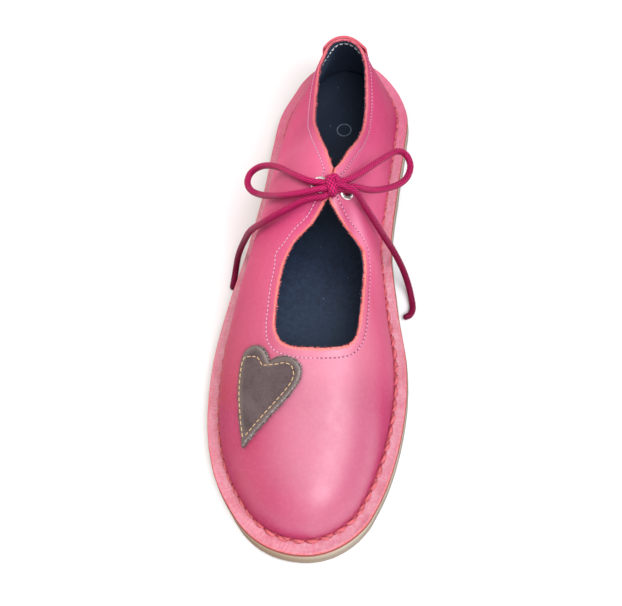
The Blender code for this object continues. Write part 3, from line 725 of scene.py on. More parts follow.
# ================================================================ materials
class Surface:
    """A material and short calls for its nodes."""

    def __init__(self, name, **constants):
        self.mat = bpy.data.materials.new(name)
        self.mat.use_nodes = True
        self.tree = self.mat.node_tree
        self.bsdf = self.tree.nodes["Principled BSDF"]
        for key, value in constants.items():
            self.bsdf.inputs[key.replace("_", " ")].default_value = value
        self._place = None

    def add(self, kind, settings=None, **inputs):
        node = self.tree.nodes.new(kind)
        for key, value in (settings or {}).items():
            setattr(node, key, value)
        for key, value in inputs.items():
            self.put(node.inputs[key.replace("_", " ")], value)
        return node

    def put(self, socket, value):
        if isinstance(value, bpy.types.NodeSocket):
            self.tree.links.new(value, socket)
        else:
            socket.default_value = value

    def place(self, stretch=None):
        """Position in the shoe's own frame, in metres; stretch squeezes the pattern along an axis."""
        if self._place is None:
            self._place = self.add("ShaderNodeTexCoord").outputs["Object"]
        if stretch is None:
            return self._place
        node = self.add("ShaderNodeVectorMath", {"operation": "MULTIPLY"})
        self.put(node.inputs[0], self._place)
        node.inputs[1].default_value = stretch
        return node.outputs[0]

    def joined(self, x, y, z=0.0):
        node = self.add("ShaderNodeCombineXYZ")
        for socket, value in zip(node.inputs, (x, y, z)):
            self.put(socket, value)
        return node.outputs[0]

    def noise(self, scale, detail=2.0, rough=0.5, vector=None, distortion=0.0):
        return self.add(
            "ShaderNodeTexNoise", None, Vector=vector or self.place(), Scale=scale, Detail=detail,
            Roughness=rough, Distortion=distortion,
        ).outputs["Fac"]

    def cells(self, scale, feature="F1", vector=None, output="Distance", randomness=1.0):
        return self.add(
            "ShaderNodeTexVoronoi", {"feature": feature}, Vector=vector or self.place(), Scale=scale,
            Randomness=randomness,
        ).outputs[output]

    def attr(self, name):
        return self.add("ShaderNodeAttribute", {"attribute_name": name}).outputs["Fac"]

    def math(self, operation, a, b=0.0, c=0.0, clamp=False):
        node = self.add("ShaderNodeMath", {"operation": operation, "use_clamp": clamp})
        for socket, value in zip(node.inputs, (a, b, c)):
            self.put(socket, value)
        return node.outputs[0]

    def remap(self, value, low, high, to_low=0.0, to_high=1.0, kind="SMOOTHSTEP"):
        node = self.add("ShaderNodeMapRange", {"interpolation_type": kind})
        for key, v in (("Value", value), ("From Min", low), ("From Max", high), ("To Min", to_low), ("To Max", to_high)):
            self.put(node.inputs[key], v)
        return node.outputs["Result"]

    def mix(self, share, a, b, blend="MIX"):
        node = self.add("ShaderNodeMix", {"data_type": "RGBA", "blend_type": blend})
        self.put(node.inputs[0], share)
        self.put(node.inputs[6], a)
        self.put(node.inputs[7], b)
        return node.outputs[2]

    def bump(self, height, strength, distance, under=None):
        node = self.add("ShaderNodeBump", None, Height=height, Strength=strength, Distance=distance)
        if under is not None:
            self.put(node.inputs["Normal"], under)
        return node.outputs["Normal"]

    def finish(self, colour=None, rough=None, normal=None):
        for key, value in (("Base Color", colour), ("Roughness", rough), ("Normal", normal)):
            if value is not None:
                self.put(self.bsdf.inputs[key], value)
        return self.mat


PINK = srgb(205, 71, 118)
PINK_DEEP = srgb(198, 65, 111)
# painted shade: the front leather is darker than the back to offset the stronger light it gets, and darker again on its
# lateral side
VAMP = srgb(172, 57, 98)
VAMP_DEEP = srgb(164, 52, 91)
VAMP_LATERAL_SHADE = srgb(168, 53, 76)
# painted shade for the back of the medial quarter
PINK_MEDIAL_SHADE = srgb(170, 46, 92)
PINK_PALE = srgb(211, 121, 140)
FLANGE_ROSE = srgb(189, 114, 128)
FLANGE_PALE = srgb(216, 173, 182)
SALMON = srgb(224, 120, 112)
SALMON_DEEP = srgb(202, 88, 92)


def leather_surface(name, flange):
    """Smooth dyed leather; its cut edges show the raw salmon core, and the turned-out flange is paler, partly as
    painted light. Its colour and reflection strength also carry painted shade, painted light and a painted highlight,
    set by place.
    """
    s = Surface(name, IOR=1.66)
    # painted reflection: how strongly the leather reflects is set by place, strong on the lit vamp and weak on walls
    # and flaps, standing in for bright and dark surroundings
    s.put(s.bsdf.inputs["Specular IOR Level"], s.remap(s.attr("painted_reflection"), 0.0, 1.0, 0.03, 1.0))
    cloud = s.noise(24.0, 3.0, 0.55)
    fine = s.noise(520.0, 2.0, 0.6)
    spot = s.add("ShaderNodeSeparateXYZ")
    s.put(spot.inputs[0], s.place())
    # painted shade: darker leather over the front, and more on its lateral side
    behind = s.remap(spot.outputs["Y"], -0.065, 0.030)
    vamp = s.mix(s.remap(spot.outputs["X"], -0.045, 0.0, 1.0, 0.0), VAMP, VAMP_LATERAL_SHADE)
    colour = s.mix(s.remap(cloud, 0.32, 0.68), s.mix(behind, VAMP_DEEP, PINK_DEEP), s.mix(behind, vamp, PINK))
    # painted shade: darker leather at the back of the medial quarter
    inner = s.math("MULTIPLY", s.remap(spot.outputs["Y"], 0.045, 0.085), s.remap(spot.outputs["X"], 0.026, 0.046, 0.0, 0.8))
    colour = s.mix(inner, colour, PINK_MEDIAL_SHADE)
    # painted shade: darker towards the heel
    colour = s.mix(s.remap(spot.outputs["Y"], 0.070, 0.118, 0.0, 0.6), colour, srgb(170, 46, 90))
    # painted shade: darker high on the quarters and round the collar
    high = s.math("MULTIPLY", behind, s.remap(spot.outputs["Z"], 0.048, 0.068, 0.0, 0.85))
    colour = s.mix(high, colour, srgb(176, 50, 98))
    # painted light: lighter leather under the bow, offsetting the shade the lace loops cast there
    bow = s.math("MULTIPLY", s.remap(spot.outputs["Y"], 0.014, 0.027, 0.0, 0.38), s.remap(spot.outputs["Y"], 0.048, 0.070, 1.0, 0.0))
    bow = s.math("MULTIPLY", bow, s.remap(spot.outputs["X"], 0.032, 0.044, 1.0, 0.0))
    colour = s.mix(bow, colour, srgb(232, 112, 152))
    # painted light: lighter leather beside the keyhole, most on the medial side
    keyhole_painted_light = s.math("MULTIPLY", s.remap(spot.outputs["Y"], -0.078, -0.050, 0.0, 0.22), s.remap(spot.outputs["Y"], -0.002, 0.012, 1.0, 0.0))
    keyhole_painted_light = s.math("MULTIPLY", keyhole_painted_light, s.remap(spot.outputs["X"], -0.030, 0.020, 0.45, 1.0))
    colour = s.mix(keyhole_painted_light, colour, srgb(232, 136, 156))
    # painted highlight: a pale patch on the medial flap below the eyelet
    colour = s.mix(s.math("MULTIPLY", s.attr("stretch"), 0.62), colour, srgb(222, 138, 166))
    colour = s.mix(s.remap(fine, 0.40, 0.80, 0.0, 0.10), colour, PINK_PALE)
    pores = s.cells(1250.0)
    grain = s.noise(820.0, 3.0, 0.6)
    height = s.math("ADD", s.math("MULTIPLY", pores, 0.55), s.math("MULTIPLY", grain, 0.8))
    normal = s.bump(height, 0.10, 0.0003)
    normal = s.bump(s.noise(60.0, 3.0, 0.5), 0.06, 0.0010, normal)
    rough = s.remap(s.noise(150.0, 3.0, 0.6), 0.25, 0.75, 0.52, 0.59)
    if flange:
        out = s.math("MULTIPLY", s.attr("foot_mm"), -1.0)
        on = s.remap(out, 0.3, 1.7)
        arc = s.attr("arc_mm")
        streak = s.noise(1.0, 3.0, 0.6, s.joined(s.math("MULTIPLY", arc, 1.15), s.math("MULTIPLY", out, 0.22)))
        worn = s.noise(1.0, 3.0, 0.6, s.joined(s.math("MULTIPLY", arc, 0.14), s.math("MULTIPLY", out, 0.5)))
        # painted light: the flange is paler on its lateral side and towards the back, where the wall shades it
        outer = s.remap(spot.outputs["X"], -0.050, 0.045, 0.0, 0.08)
        outer = s.math("ADD", outer, s.remap(spot.outputs["Y"], -0.070, 0.010, 0.0, 0.16))
        outer = s.math("ADD", outer, s.math("MULTIPLY", s.remap(spot.outputs["Y"], -0.070, 0.010), s.remap(spot.outputs["X"], -0.035, 0.0, 0.30, 0.0)))
        pale = s.mix(s.math("ADD", s.remap(streak, 0.30, 0.70, 0.10, 0.46), outer, clamp=True), FLANGE_ROSE, FLANGE_PALE)
        pale = s.mix(s.remap(worn, 0.35, 0.70, 0.0, 0.40), pale, srgb(186, 96, 120))
        pale = s.mix(s.remap(s.noise(700.0, 2.0, 0.6), 0.45, 0.72, 0.0, 0.34), pale, PINK)
        pale = s.mix(s.remap(s.noise(90.0, 3.0, 0.6), 0.48, 0.66, 0.0, 0.34), pale, srgb(180, 88, 102))
        pale = s.mix(s.remap(spot.outputs["Y"], 0.045, 0.100, 0.0, 0.62), pale, srgb(202, 84, 124))
        colour = s.mix(on, colour, pale)
        rough = s.remap(on, 0.0, 1.0, rough, 0.58, "LINEAR")
        normal = s.bump(s.math("MULTIPLY", streak, on), 0.20, 0.0003, normal)
    raw = s.math("ADD", s.attr("cut"), s.remap(s.noise(900.0, 2.0, 0.5), 0.2, 0.8, -0.25, 0.25, "LINEAR"))
    raw = s.remap(raw, 0.28, 0.74)
    core = s.mix(s.remap(s.noise(1300.0, 3.0, 0.6), 0.3, 0.7), SALMON_DEEP, SALMON)
    core = s.mix(s.remap(spot.outputs["Y"], 0.01, 0.07, 0.0, 0.75), core, srgb(196, 84, 104))
    colour = s.mix(raw, colour, core)
    rough = s.remap(raw, 0.0, 1.0, rough, 0.82, "LINEAR")
    normal = s.bump(s.math("MULTIPLY", s.noise(2600.0, 2.0, 0.6), raw), 0.5, 0.0003, normal)
    return s.finish(colour, rough, normal)


def fibre_surface(name, dark, light):
    s = Surface(name, Specular_IOR_Level=0.2)
    return s.finish(s.mix(s.remap(s.noise(900.0, 2.0, 0.6), 0.3, 0.7), dark, light), s.remap(s.noise(1700.0), 0.3, 0.7, 0.8, 0.95))


def lining_surface():
    s = Surface("lining_navy", Specular_IOR_Level=0.35, Sheen_Weight=0.25, Sheen_Roughness=0.5)
    s.bsdf.inputs["Sheen Tint"].default_value = srgb(90, 110, 140)
    fine = s.noise(520.0, 3.0, 0.65)
    cloud = s.noise(40.0, 2.0, 0.5)
    colour = s.mix(s.remap(fine, 0.3, 0.7), srgb(38, 46, 70), srgb(56, 67, 94))
    colour = s.mix(s.remap(cloud, 0.35, 0.7, 0.0, 0.35), colour, srgb(62, 76, 104))
    spot = s.add("ShaderNodeSeparateXYZ")
    s.put(spot.inputs[0], s.place())
    # painted shade: darker towards the back of the heel
    colour = s.mix(s.remap(spot.outputs["Y"], 0.070, 0.112, 0.0, 0.62), colour, srgb(20, 26, 42))
    speck = s.cells(150.0, output="Distance")
    colour = s.mix(s.remap(speck, 0.035, 0.055, 0.7, 0.0), colour, srgb(170, 180, 190))
    normal = s.bump(s.noise(1500.0, 3.0, 0.6), 0.25, 0.0003)
    return s.finish(colour, s.remap(fine, 0.2, 0.8, 0.62, 0.8), normal)


def insole_surface():
    s = Surface("insole_navy", Specular_IOR_Level=0.4)
    fine = s.noise(480.0, 3.0, 0.65)
    cloud = s.noise(13.0, 2.0, 0.5)
    colour = s.mix(s.remap(fine, 0.3, 0.7), srgb(28, 38, 57), srgb(40, 55, 80))
    colour = s.mix(s.remap(cloud, 0.35, 0.7, 0.0, 0.45), colour, srgb(50, 70, 94))
    spot = s.add("ShaderNodeSeparateXYZ")
    s.put(spot.inputs[0], s.place())
    # painted shade: darker towards the heel, under the collar
    colour = s.mix(s.remap(spot.outputs["Y"], -0.01, 0.075, 0.0, 0.6), colour, srgb(18, 24, 39))
    speck = s.cells(150.0)
    colour = s.mix(s.remap(speck, 0.030, 0.050, 0.75, 0.0), colour, srgb(150, 165, 180))
    away = s.add("ShaderNodeVectorMath", {"operation": "DISTANCE"})
    flat = s.add("ShaderNodeVectorMath", {"operation": "MULTIPLY"})
    s.put(flat.inputs[0], s.place())
    flat.inputs[1].default_value = (1.0, 1.0, 0.0)
    s.put(away.inputs[0], flat.outputs[0])
    away.inputs[1].default_value = (RING_AT[0] * MM, RING_AT[1] * MM, 0.0)
    off = s.math("ABSOLUTE", s.math("SUBTRACT", away.outputs["Value"], RING_SIZE / 2 * MM))
    line = s.remap(off, 0.00022, 0.00046, 1.0, 0.0)
    worn = s.math("MULTIPLY", line, s.remap(s.noise(900.0, 2.0), 0.25, 0.6, 0.45, 0.95))
    colour = s.mix(worn, colour, srgb(120, 134, 152))
    grain = s.math("SUBTRACT", s.noise(1200.0, 3.0, 0.6), s.math("MULTIPLY", line, 0.7))
    normal = s.bump(grain, 0.25, 0.0003)
    return s.finish(colour, s.remap(cloud, 0.3, 0.7, 0.46, 0.6), normal)


def nubuck_surface():
    s = Surface("heart_nubuck", Specular_IOR_Level=0.25, Sheen_Weight=0.18, Sheen_Roughness=0.5)
    s.bsdf.inputs["Sheen Tint"].default_value = srgb(200, 185, 180)
    cloud = s.noise(75.0, 3.0, 0.6, distortion=0.6)
    nap = s.noise(900.0, 3.0, 0.7)
    colour = s.mix(s.remap(cloud, 0.3, 0.7), srgb(62, 49, 53), srgb(85, 71, 72))
    colour = s.mix(s.remap(s.noise(38.0, 2.0, 0.5, distortion=0.4), 0.44, 0.66, 0.0, 0.42), colour, srgb(98, 84, 86))
    colour = s.mix(s.remap(nap, 0.3, 0.7, 0.0, 0.35), colour, srgb(106, 93, 90))
    rim = s.attr("rim_mm")
    margin = s.remap(rim, 1.6, 3.4, 0.45, 0.0)
    colour = s.mix(margin, colour, srgb(112, 102, 96))
    colour = s.mix(s.remap(s.math("ADD", s.attr("raised"), s.remap(nap, 0.2, 0.8, -0.2, 0.2, "LINEAR")), 0.45, 0.95, 0.0, 0.6), colour, srgb(146, 136, 132))
    raw = s.remap(s.math("ADD", rim, s.remap(nap, 0.2, 0.8, -0.25, 0.25, "LINEAR")), 0.15, 0.5, 0.8, 0.0)
    colour = s.mix(raw, colour, srgb(66, 56, 54))
    normal = s.bump(nap, 0.45, 0.0004)
    normal = s.bump(cloud, 0.15, 0.001, normal)
    return s.finish(colour, s.remap(nap, 0.2, 0.8, 0.78, 0.95), normal)


def metal_surface():
    s = Surface("eyelet_metal", Metallic=1.0)
    scuff = s.noise(1800.0, 3.0, 0.6, s.place((1.0, 1.0, 3.0)))
    colour = s.mix(s.remap(s.noise(600.0, 2.0), 0.3, 0.7), srgb(216, 214, 213), srgb(240, 239, 238))
    return s.finish(colour, s.remap(scuff, 0.3, 0.7, 0.26, 0.42), s.bump(scuff, 0.06, 0.0002))


def lace_surface():
    s = Surface("lace_braid", Specular_IOR_Level=0.16)
    s.bsdf.inputs["Specular Tint"].default_value = srgb(255, 176, 214)
    relief = s.attr("braid")
    fibre = s.noise(2400.0, 3.0, 0.6)
    # painted shade: the braid's grooves are darker than its crowns
    colour = s.mix(s.remap(relief, 0.48, 0.90), srgb(104, 4, 46), srgb(224, 33, 112))
    colour = s.mix(s.remap(fibre, 0.40, 0.80, 0.0, 0.28), colour, srgb(246, 92, 154))
    spot = s.add("ShaderNodeSeparateXYZ")
    s.put(spot.inputs[0], s.place())
    # painted shade: darker towards the floor
    colour = s.mix(s.remap(spot.outputs["Z"], 0.010, 0.076, 0.78, 0.0), colour, srgb(88, 4, 34))
    colour = s.mix(s.math("MULTIPLY", s.attr("lee"), 0.58), colour, srgb(92, 2, 38))
    colour = s.mix(s.math("MULTIPLY", s.attr("seal"), 0.6), colour, srgb(92, 14, 44))
    normal = s.bump(s.math("ADD", s.math("MULTIPLY", fibre, 0.5), relief), 0.35, 0.0003)
    return s.finish(colour, s.remap(fibre, 0.2, 0.8, 0.30, 0.42), normal)


def thread_surface(name, dark, light, rough=0.6):
    s = Surface(name, Specular_IOR_Level=0.4)
    fibre = s.noise(2600.0, 2.0, 0.6)
    # painted shade: the thread is darker where its plies dip and lighter on their crowns
    colour = s.mix(s.remap(s.attr("ply"), 0.05, 0.75), dark, light)
    colour = s.mix(s.remap(fibre, 0.4, 0.8, 0.0, 0.2), colour, (1.0, 0.92, 0.9, 1.0))
    return s.finish(colour, s.remap(fibre, 0.2, 0.8, rough - 0.08, rough + 0.12), s.bump(fibre, 0.2, 0.0002))


def sole_surface():
    s = Surface("sole_cream", Specular_IOR_Level=0.3)
    cloud = s.noise(30.0, 3.0, 0.55)
    layer = s.noise(260.0, 3.0, 0.6, s.place((0.25, 0.25, 4.0)))
    pit = s.cells(620.0)
    spot = s.add("ShaderNodeSeparateXYZ")
    s.put(spot.inputs[0], s.place())
    # painted light: the sole edge is paler on the medial side, which faces the light, and tan on the lateral side
    side = s.remap(spot.outputs["X"], -0.03, 0.04)
    light = s.mix(side, srgb(160, 136, 108), srgb(194, 186, 170))
    colour = s.mix(s.remap(cloud, 0.3, 0.7), s.mix(side, srgb(146, 124, 100), srgb(180, 168, 148)), light)
    colour = s.mix(s.remap(s.attr("drop"), 2.0, 5.6, 0.0, 0.85), colour, s.mix(side, srgb(122, 100, 80), srgb(136, 128, 118)))
    colour = s.mix(s.remap(layer, 0.35, 0.7, 0.0, 0.4), colour, srgb(152, 130, 106))
    colour = s.mix(s.remap(pit, 0.0, 0.16, 0.45, 0.0), colour, srgb(150, 126, 100))
    colour = s.mix(s.remap(s.attr("drop"), 0.3, 1.15, 0.92, 0.0), colour, srgb(140, 62, 60))
    colour = s.mix(s.remap(s.attr("under"), 0.0, 1.0, 0.0, 0.35), colour, srgb(178, 152, 122))
    height = s.math("ADD", s.remap(pit, 0.0, 0.3, 0.0, 0.6), s.math("MULTIPLY", layer, 0.5))
    normal = s.bump(height, 0.35, 0.0005)
    return s.finish(colour, s.remap(layer, 0.2, 0.8, 0.72, 0.88), normal)


def floor_surface():
    s = Surface("floor_pale", Specular_IOR_Level=0.2)
    soft = s.noise(3.0, 2.0, 0.5)
    colour = s.mix(s.remap(soft, 0.3, 0.7), (0.81, 0.81, 0.81, 1.0), (0.84, 0.84, 0.84, 1.0))
    return s.finish(colour, s.remap(soft, 0.3, 0.7, 0.82, 0.9))


LEATHER_SKIN = leather_surface("leather_pink", True)
TAB_SKIN = leather_surface("leather_pink_tab", False)
LINING_SKIN = lining_surface()
INSOLE_SKIN = insole_surface()
NUBUCK_SKIN = nubuck_surface()
METAL_SKIN = metal_surface()
LACE_SKIN = lace_surface()
SOLE_SKIN = sole_surface()
SEAM_SKIN = thread_surface("thread_salmon", srgb(138, 40, 56), srgb(194, 80, 90))
TOP_SKIN = thread_surface("thread_lilac", srgb(156, 84, 126), srgb(218, 158, 190))
TOP_PINK_SKIN = thread_surface("thread_pink", srgb(150, 78, 122), srgb(222, 150, 184))
HEART_SKIN = thread_surface("thread_tan", srgb(110, 80, 54), srgb(202, 168, 122))
NIB_SKIN = fibre_surface("raw_edge_fibre", SALMON_DEEP, SALMON)
TUFT_SKIN = fibre_surface("lining_fibre", srgb(26, 33, 50), srgb(44, 54, 78))
SPECK_SKIN = fibre_surface("pale_fibre", srgb(176, 170, 168), srgb(214, 210, 208))
FUZZ_SKIN = fibre_surface("nubuck_fibre", srgb(96, 86, 82), srgb(150, 140, 134))
# needle holes: their dark colour is painted shade
HOLE_SKIN = fibre_surface("needle_hole", srgb(74, 14, 34), srgb(96, 24, 46))
SOLE_HOLE_SKIN = fibre_surface("sole_needle_hole", srgb(136, 42, 58), srgb(164, 62, 78))
BACK_SKIN = thread_surface("thread_white", srgb(150, 150, 156), srgb(238, 238, 240))


# ================================================================ camera
def make_camera():
    """The photograph's place and angle, turned to face the one shoe."""
    data = bpy.data.cameras.new("camera")
    data.sensor_width, data.lens = 36.0, 57.88 * 1.09
    data.clip_start = 0.01
    cam = bpy.data.objects.new("camera", data)
    bpy.context.scene.collection.objects.link(cam)
    first = Matrix.Rotation(math.radians(24.0), 3, "X")
    ahead = first @ Vector((0, 0, -1))
    aim = (first @ Vector((-0.0885, -0.012, -1.0))).normalized()
    turn = ahead.rotation_difference(aim).to_matrix()
    cam.matrix_world = Matrix.Translation((0.05115, -0.23806, 0.54045)) @ (turn @ first).to_4x4()
    bpy.context.scene.camera = cam


make_camera()


# ================================================================ the lace
INTO_KNOT = {
    "lace_loop_lateral": ((14.6, 21.4, 82.6), (14.6, 19.4, 82.9)),
    "lace_loop_medial": ((14.8, 21.6, 82.4), (14.8, 20.0, 81.4)),
    "lace_tail_lateral": ((14.6, 17.6, 81.4), None),
    "lace_tail_medial": ((14.8, 20.0, 83.4), None),
}
LACE_ENDS = {
    "lace_loop_lateral": "object",
    "lace_loop_medial": "object",
    "lace_tail_lateral": "bare",
    "lace_tail_medial": "bare",
}


def lace_paths():
    paths = {}
    for name, rows in ROUTES.items():
        before, after = INTO_KNOT[name]
        rows = (before, *rows) if before else rows
        rows = (*rows, after) if after else rows
        paths[name] = softened(curve_points(rows, 0.27), 24)
    return paths


def knot_pieces():
    """The turn of lace that ties the bow, and the short arch behind it."""
    turn = np.linspace(0, 2 * np.pi, 96, endpoint=False)
    y, z = 4.35 * np.cos(turn), 2.55 * np.sin(turn)
    x = -0.32 * y - 0.3 + 0.4 * np.sin(turn + 0.6)
    wrap = np.column_stack([KNOT[0] + x, KNOT[1] + 0.1 + y, KNOT[2] - 0.4 + z])
    wide = 1.12 + 0.28 * np.clip(np.sin(turn), 0, 1)
    arch = softened(curve_points((
        (13.6, 22.2, 83.8), (14.6, 24.3, 84.4), (16.2, 24.9, 84.2), (17.5, 23.8, 83.6), (17.7, 21.8, 82.8), (16.6, 20.2, 82.0),
    ), 0.27), 8)
    return [
        braided_tube("lace_knot", wrap, LACE_SKIN, closed=True, flatten=[((1, 0.32, 0), wide)]),
        braided_tube("lace_knot_arch", arch, LACE_SKIN),
    ]


def lace_bar_path():
    """Down from the knot through one eyelet, across under the flaps, and up through the other."""
    (pm, nm), (pl, nl) = (eyelet_frame(row) for row in EYELETS)
    across = (pm - pl) / np.linalg.norm(pm - pl)
    rows = [
        (13.6, 21.4, 81.0), (11.2, 23.0, 81.4), pl + nl * 2.6 + across * 0.8, pl + nl * 0.6, pl - nl * 2.0, pl - nl * 5.6,
        pl - nl * 8.6 + across * 2.0, (pl - nl * 10.2 + pm - nm * 10.2) / 2,
        pm - nm * 8.6 - across * 2.0, pm - nm * 5.6, pm - nm * 2.0, pm + nm * 0.6, pm + nm * 2.4 - across * 0.8,
        (18.0, 20.6, 79.4), (15.8, 20.6, 80.4),
    ]
    return softened(curve_points(rows, 0.27), 10)


def make_lace():
    knot = knot_pieces()
    for piece in knot:
        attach(piece, "root")
    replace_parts(knot[0], "lace_knot")
    bar = braided_tube("lace_bar_run", lace_bar_path(), LACE_SKIN)
    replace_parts(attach(bar, "root") or bar, "lace_bar")
    for name, path in lace_paths().items():
        free = LACE_ENDS[name] == "bare"
        run = braided_tube(name + "_run", path, LACE_SKIN, tips=(False, free))
        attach(run, "root")
        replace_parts(run, name)


make_lace()


# ================================================================ the upper
WALL_LINES = whole_wall(18)


def lip_line(per_row):
    """The cut edge once round, with the direction up the wall and the outward normal there."""
    full, far, *_ = whole_wall(per_row)
    length = far[:, -1:]
    grid = along_wall(full, far, length - np.array([[2.0, 1.0, 0.0]]))
    normal = grid_normals(grid, True)[:, -1]
    up = grid[:, -1] - grid[:, -2]
    return grid[:, -1], up / np.linalg.norm(up, axis=1, keepdims=True), normal


LIP_POINTS, LIP_UP, LIP_NORMAL = lip_line(40)


def lip_tree():
    tree = KDTree(len(LIP_POINTS))
    for i, p in enumerate(LIP_POINTS):
        tree.insert(p, i)
    tree.balance()
    return tree


LIP_TREE = lip_tree()


def leather_relief(points, normals, climb, length, phase):
    """How far the leather stands off its last: seam puckers, the sewn groove, creases, and the press of the eyelets."""
    nu, nv = points.shape[:2]
    hole = (0.5 + 0.5 * np.cos(phase))[:, None]
    move = -0.42 * bell(climb - 0.8, 2.6) * hole**1.5 + 0.10 * bell(climb - 3.2, 2.2) * (1 - hole)
    near = np.argwhere(length[:, None] - climb < 16.0)
    edge = np.full((nu, nv), 99.0)
    for i, j in near:
        edge[i, j] = LIP_TREE.find(points[i, j])[2]
    move = move - 0.20 * bell(edge - TOP_SEAM, 0.75) + 0.10 * bell(edge - 2.2, 1.4)
    for x, y, heading, long, wide, height in CREASES:
        a = math.radians(heading)
        dx, dy = points[..., 0] - x, points[..., 1] - y
        run, off = dx * math.cos(a) + dy * math.sin(a), -dx * math.sin(a) + dy * math.cos(a)
        move = move + height * bell(run, long) * bell(off, wide)
    for row in EYELETS:
        place, axis = eyelet_frame(row)
        away = np.linalg.norm(points - place, axis=-1)
        move = move - 0.25 * bell(away, 4.6)
    return move, edge


def ragged_line(line, seed, height):
    """Uneven trimming: an offset for each point of a closed line, in short straight cuts."""
    step = np.linalg.norm(np.roll(line, -1, 0) - line, axis=1)
    arc = np.concatenate([[0], np.cumsum(step)[:-1]])
    rng = np.random.default_rng(seed)
    nodes = np.cumsum(rng.uniform(0.6, 1.7, int(step.sum() / 0.6) + 2))
    return np.interp(arc, nodes, rng.uniform(-height, height, len(nodes)))


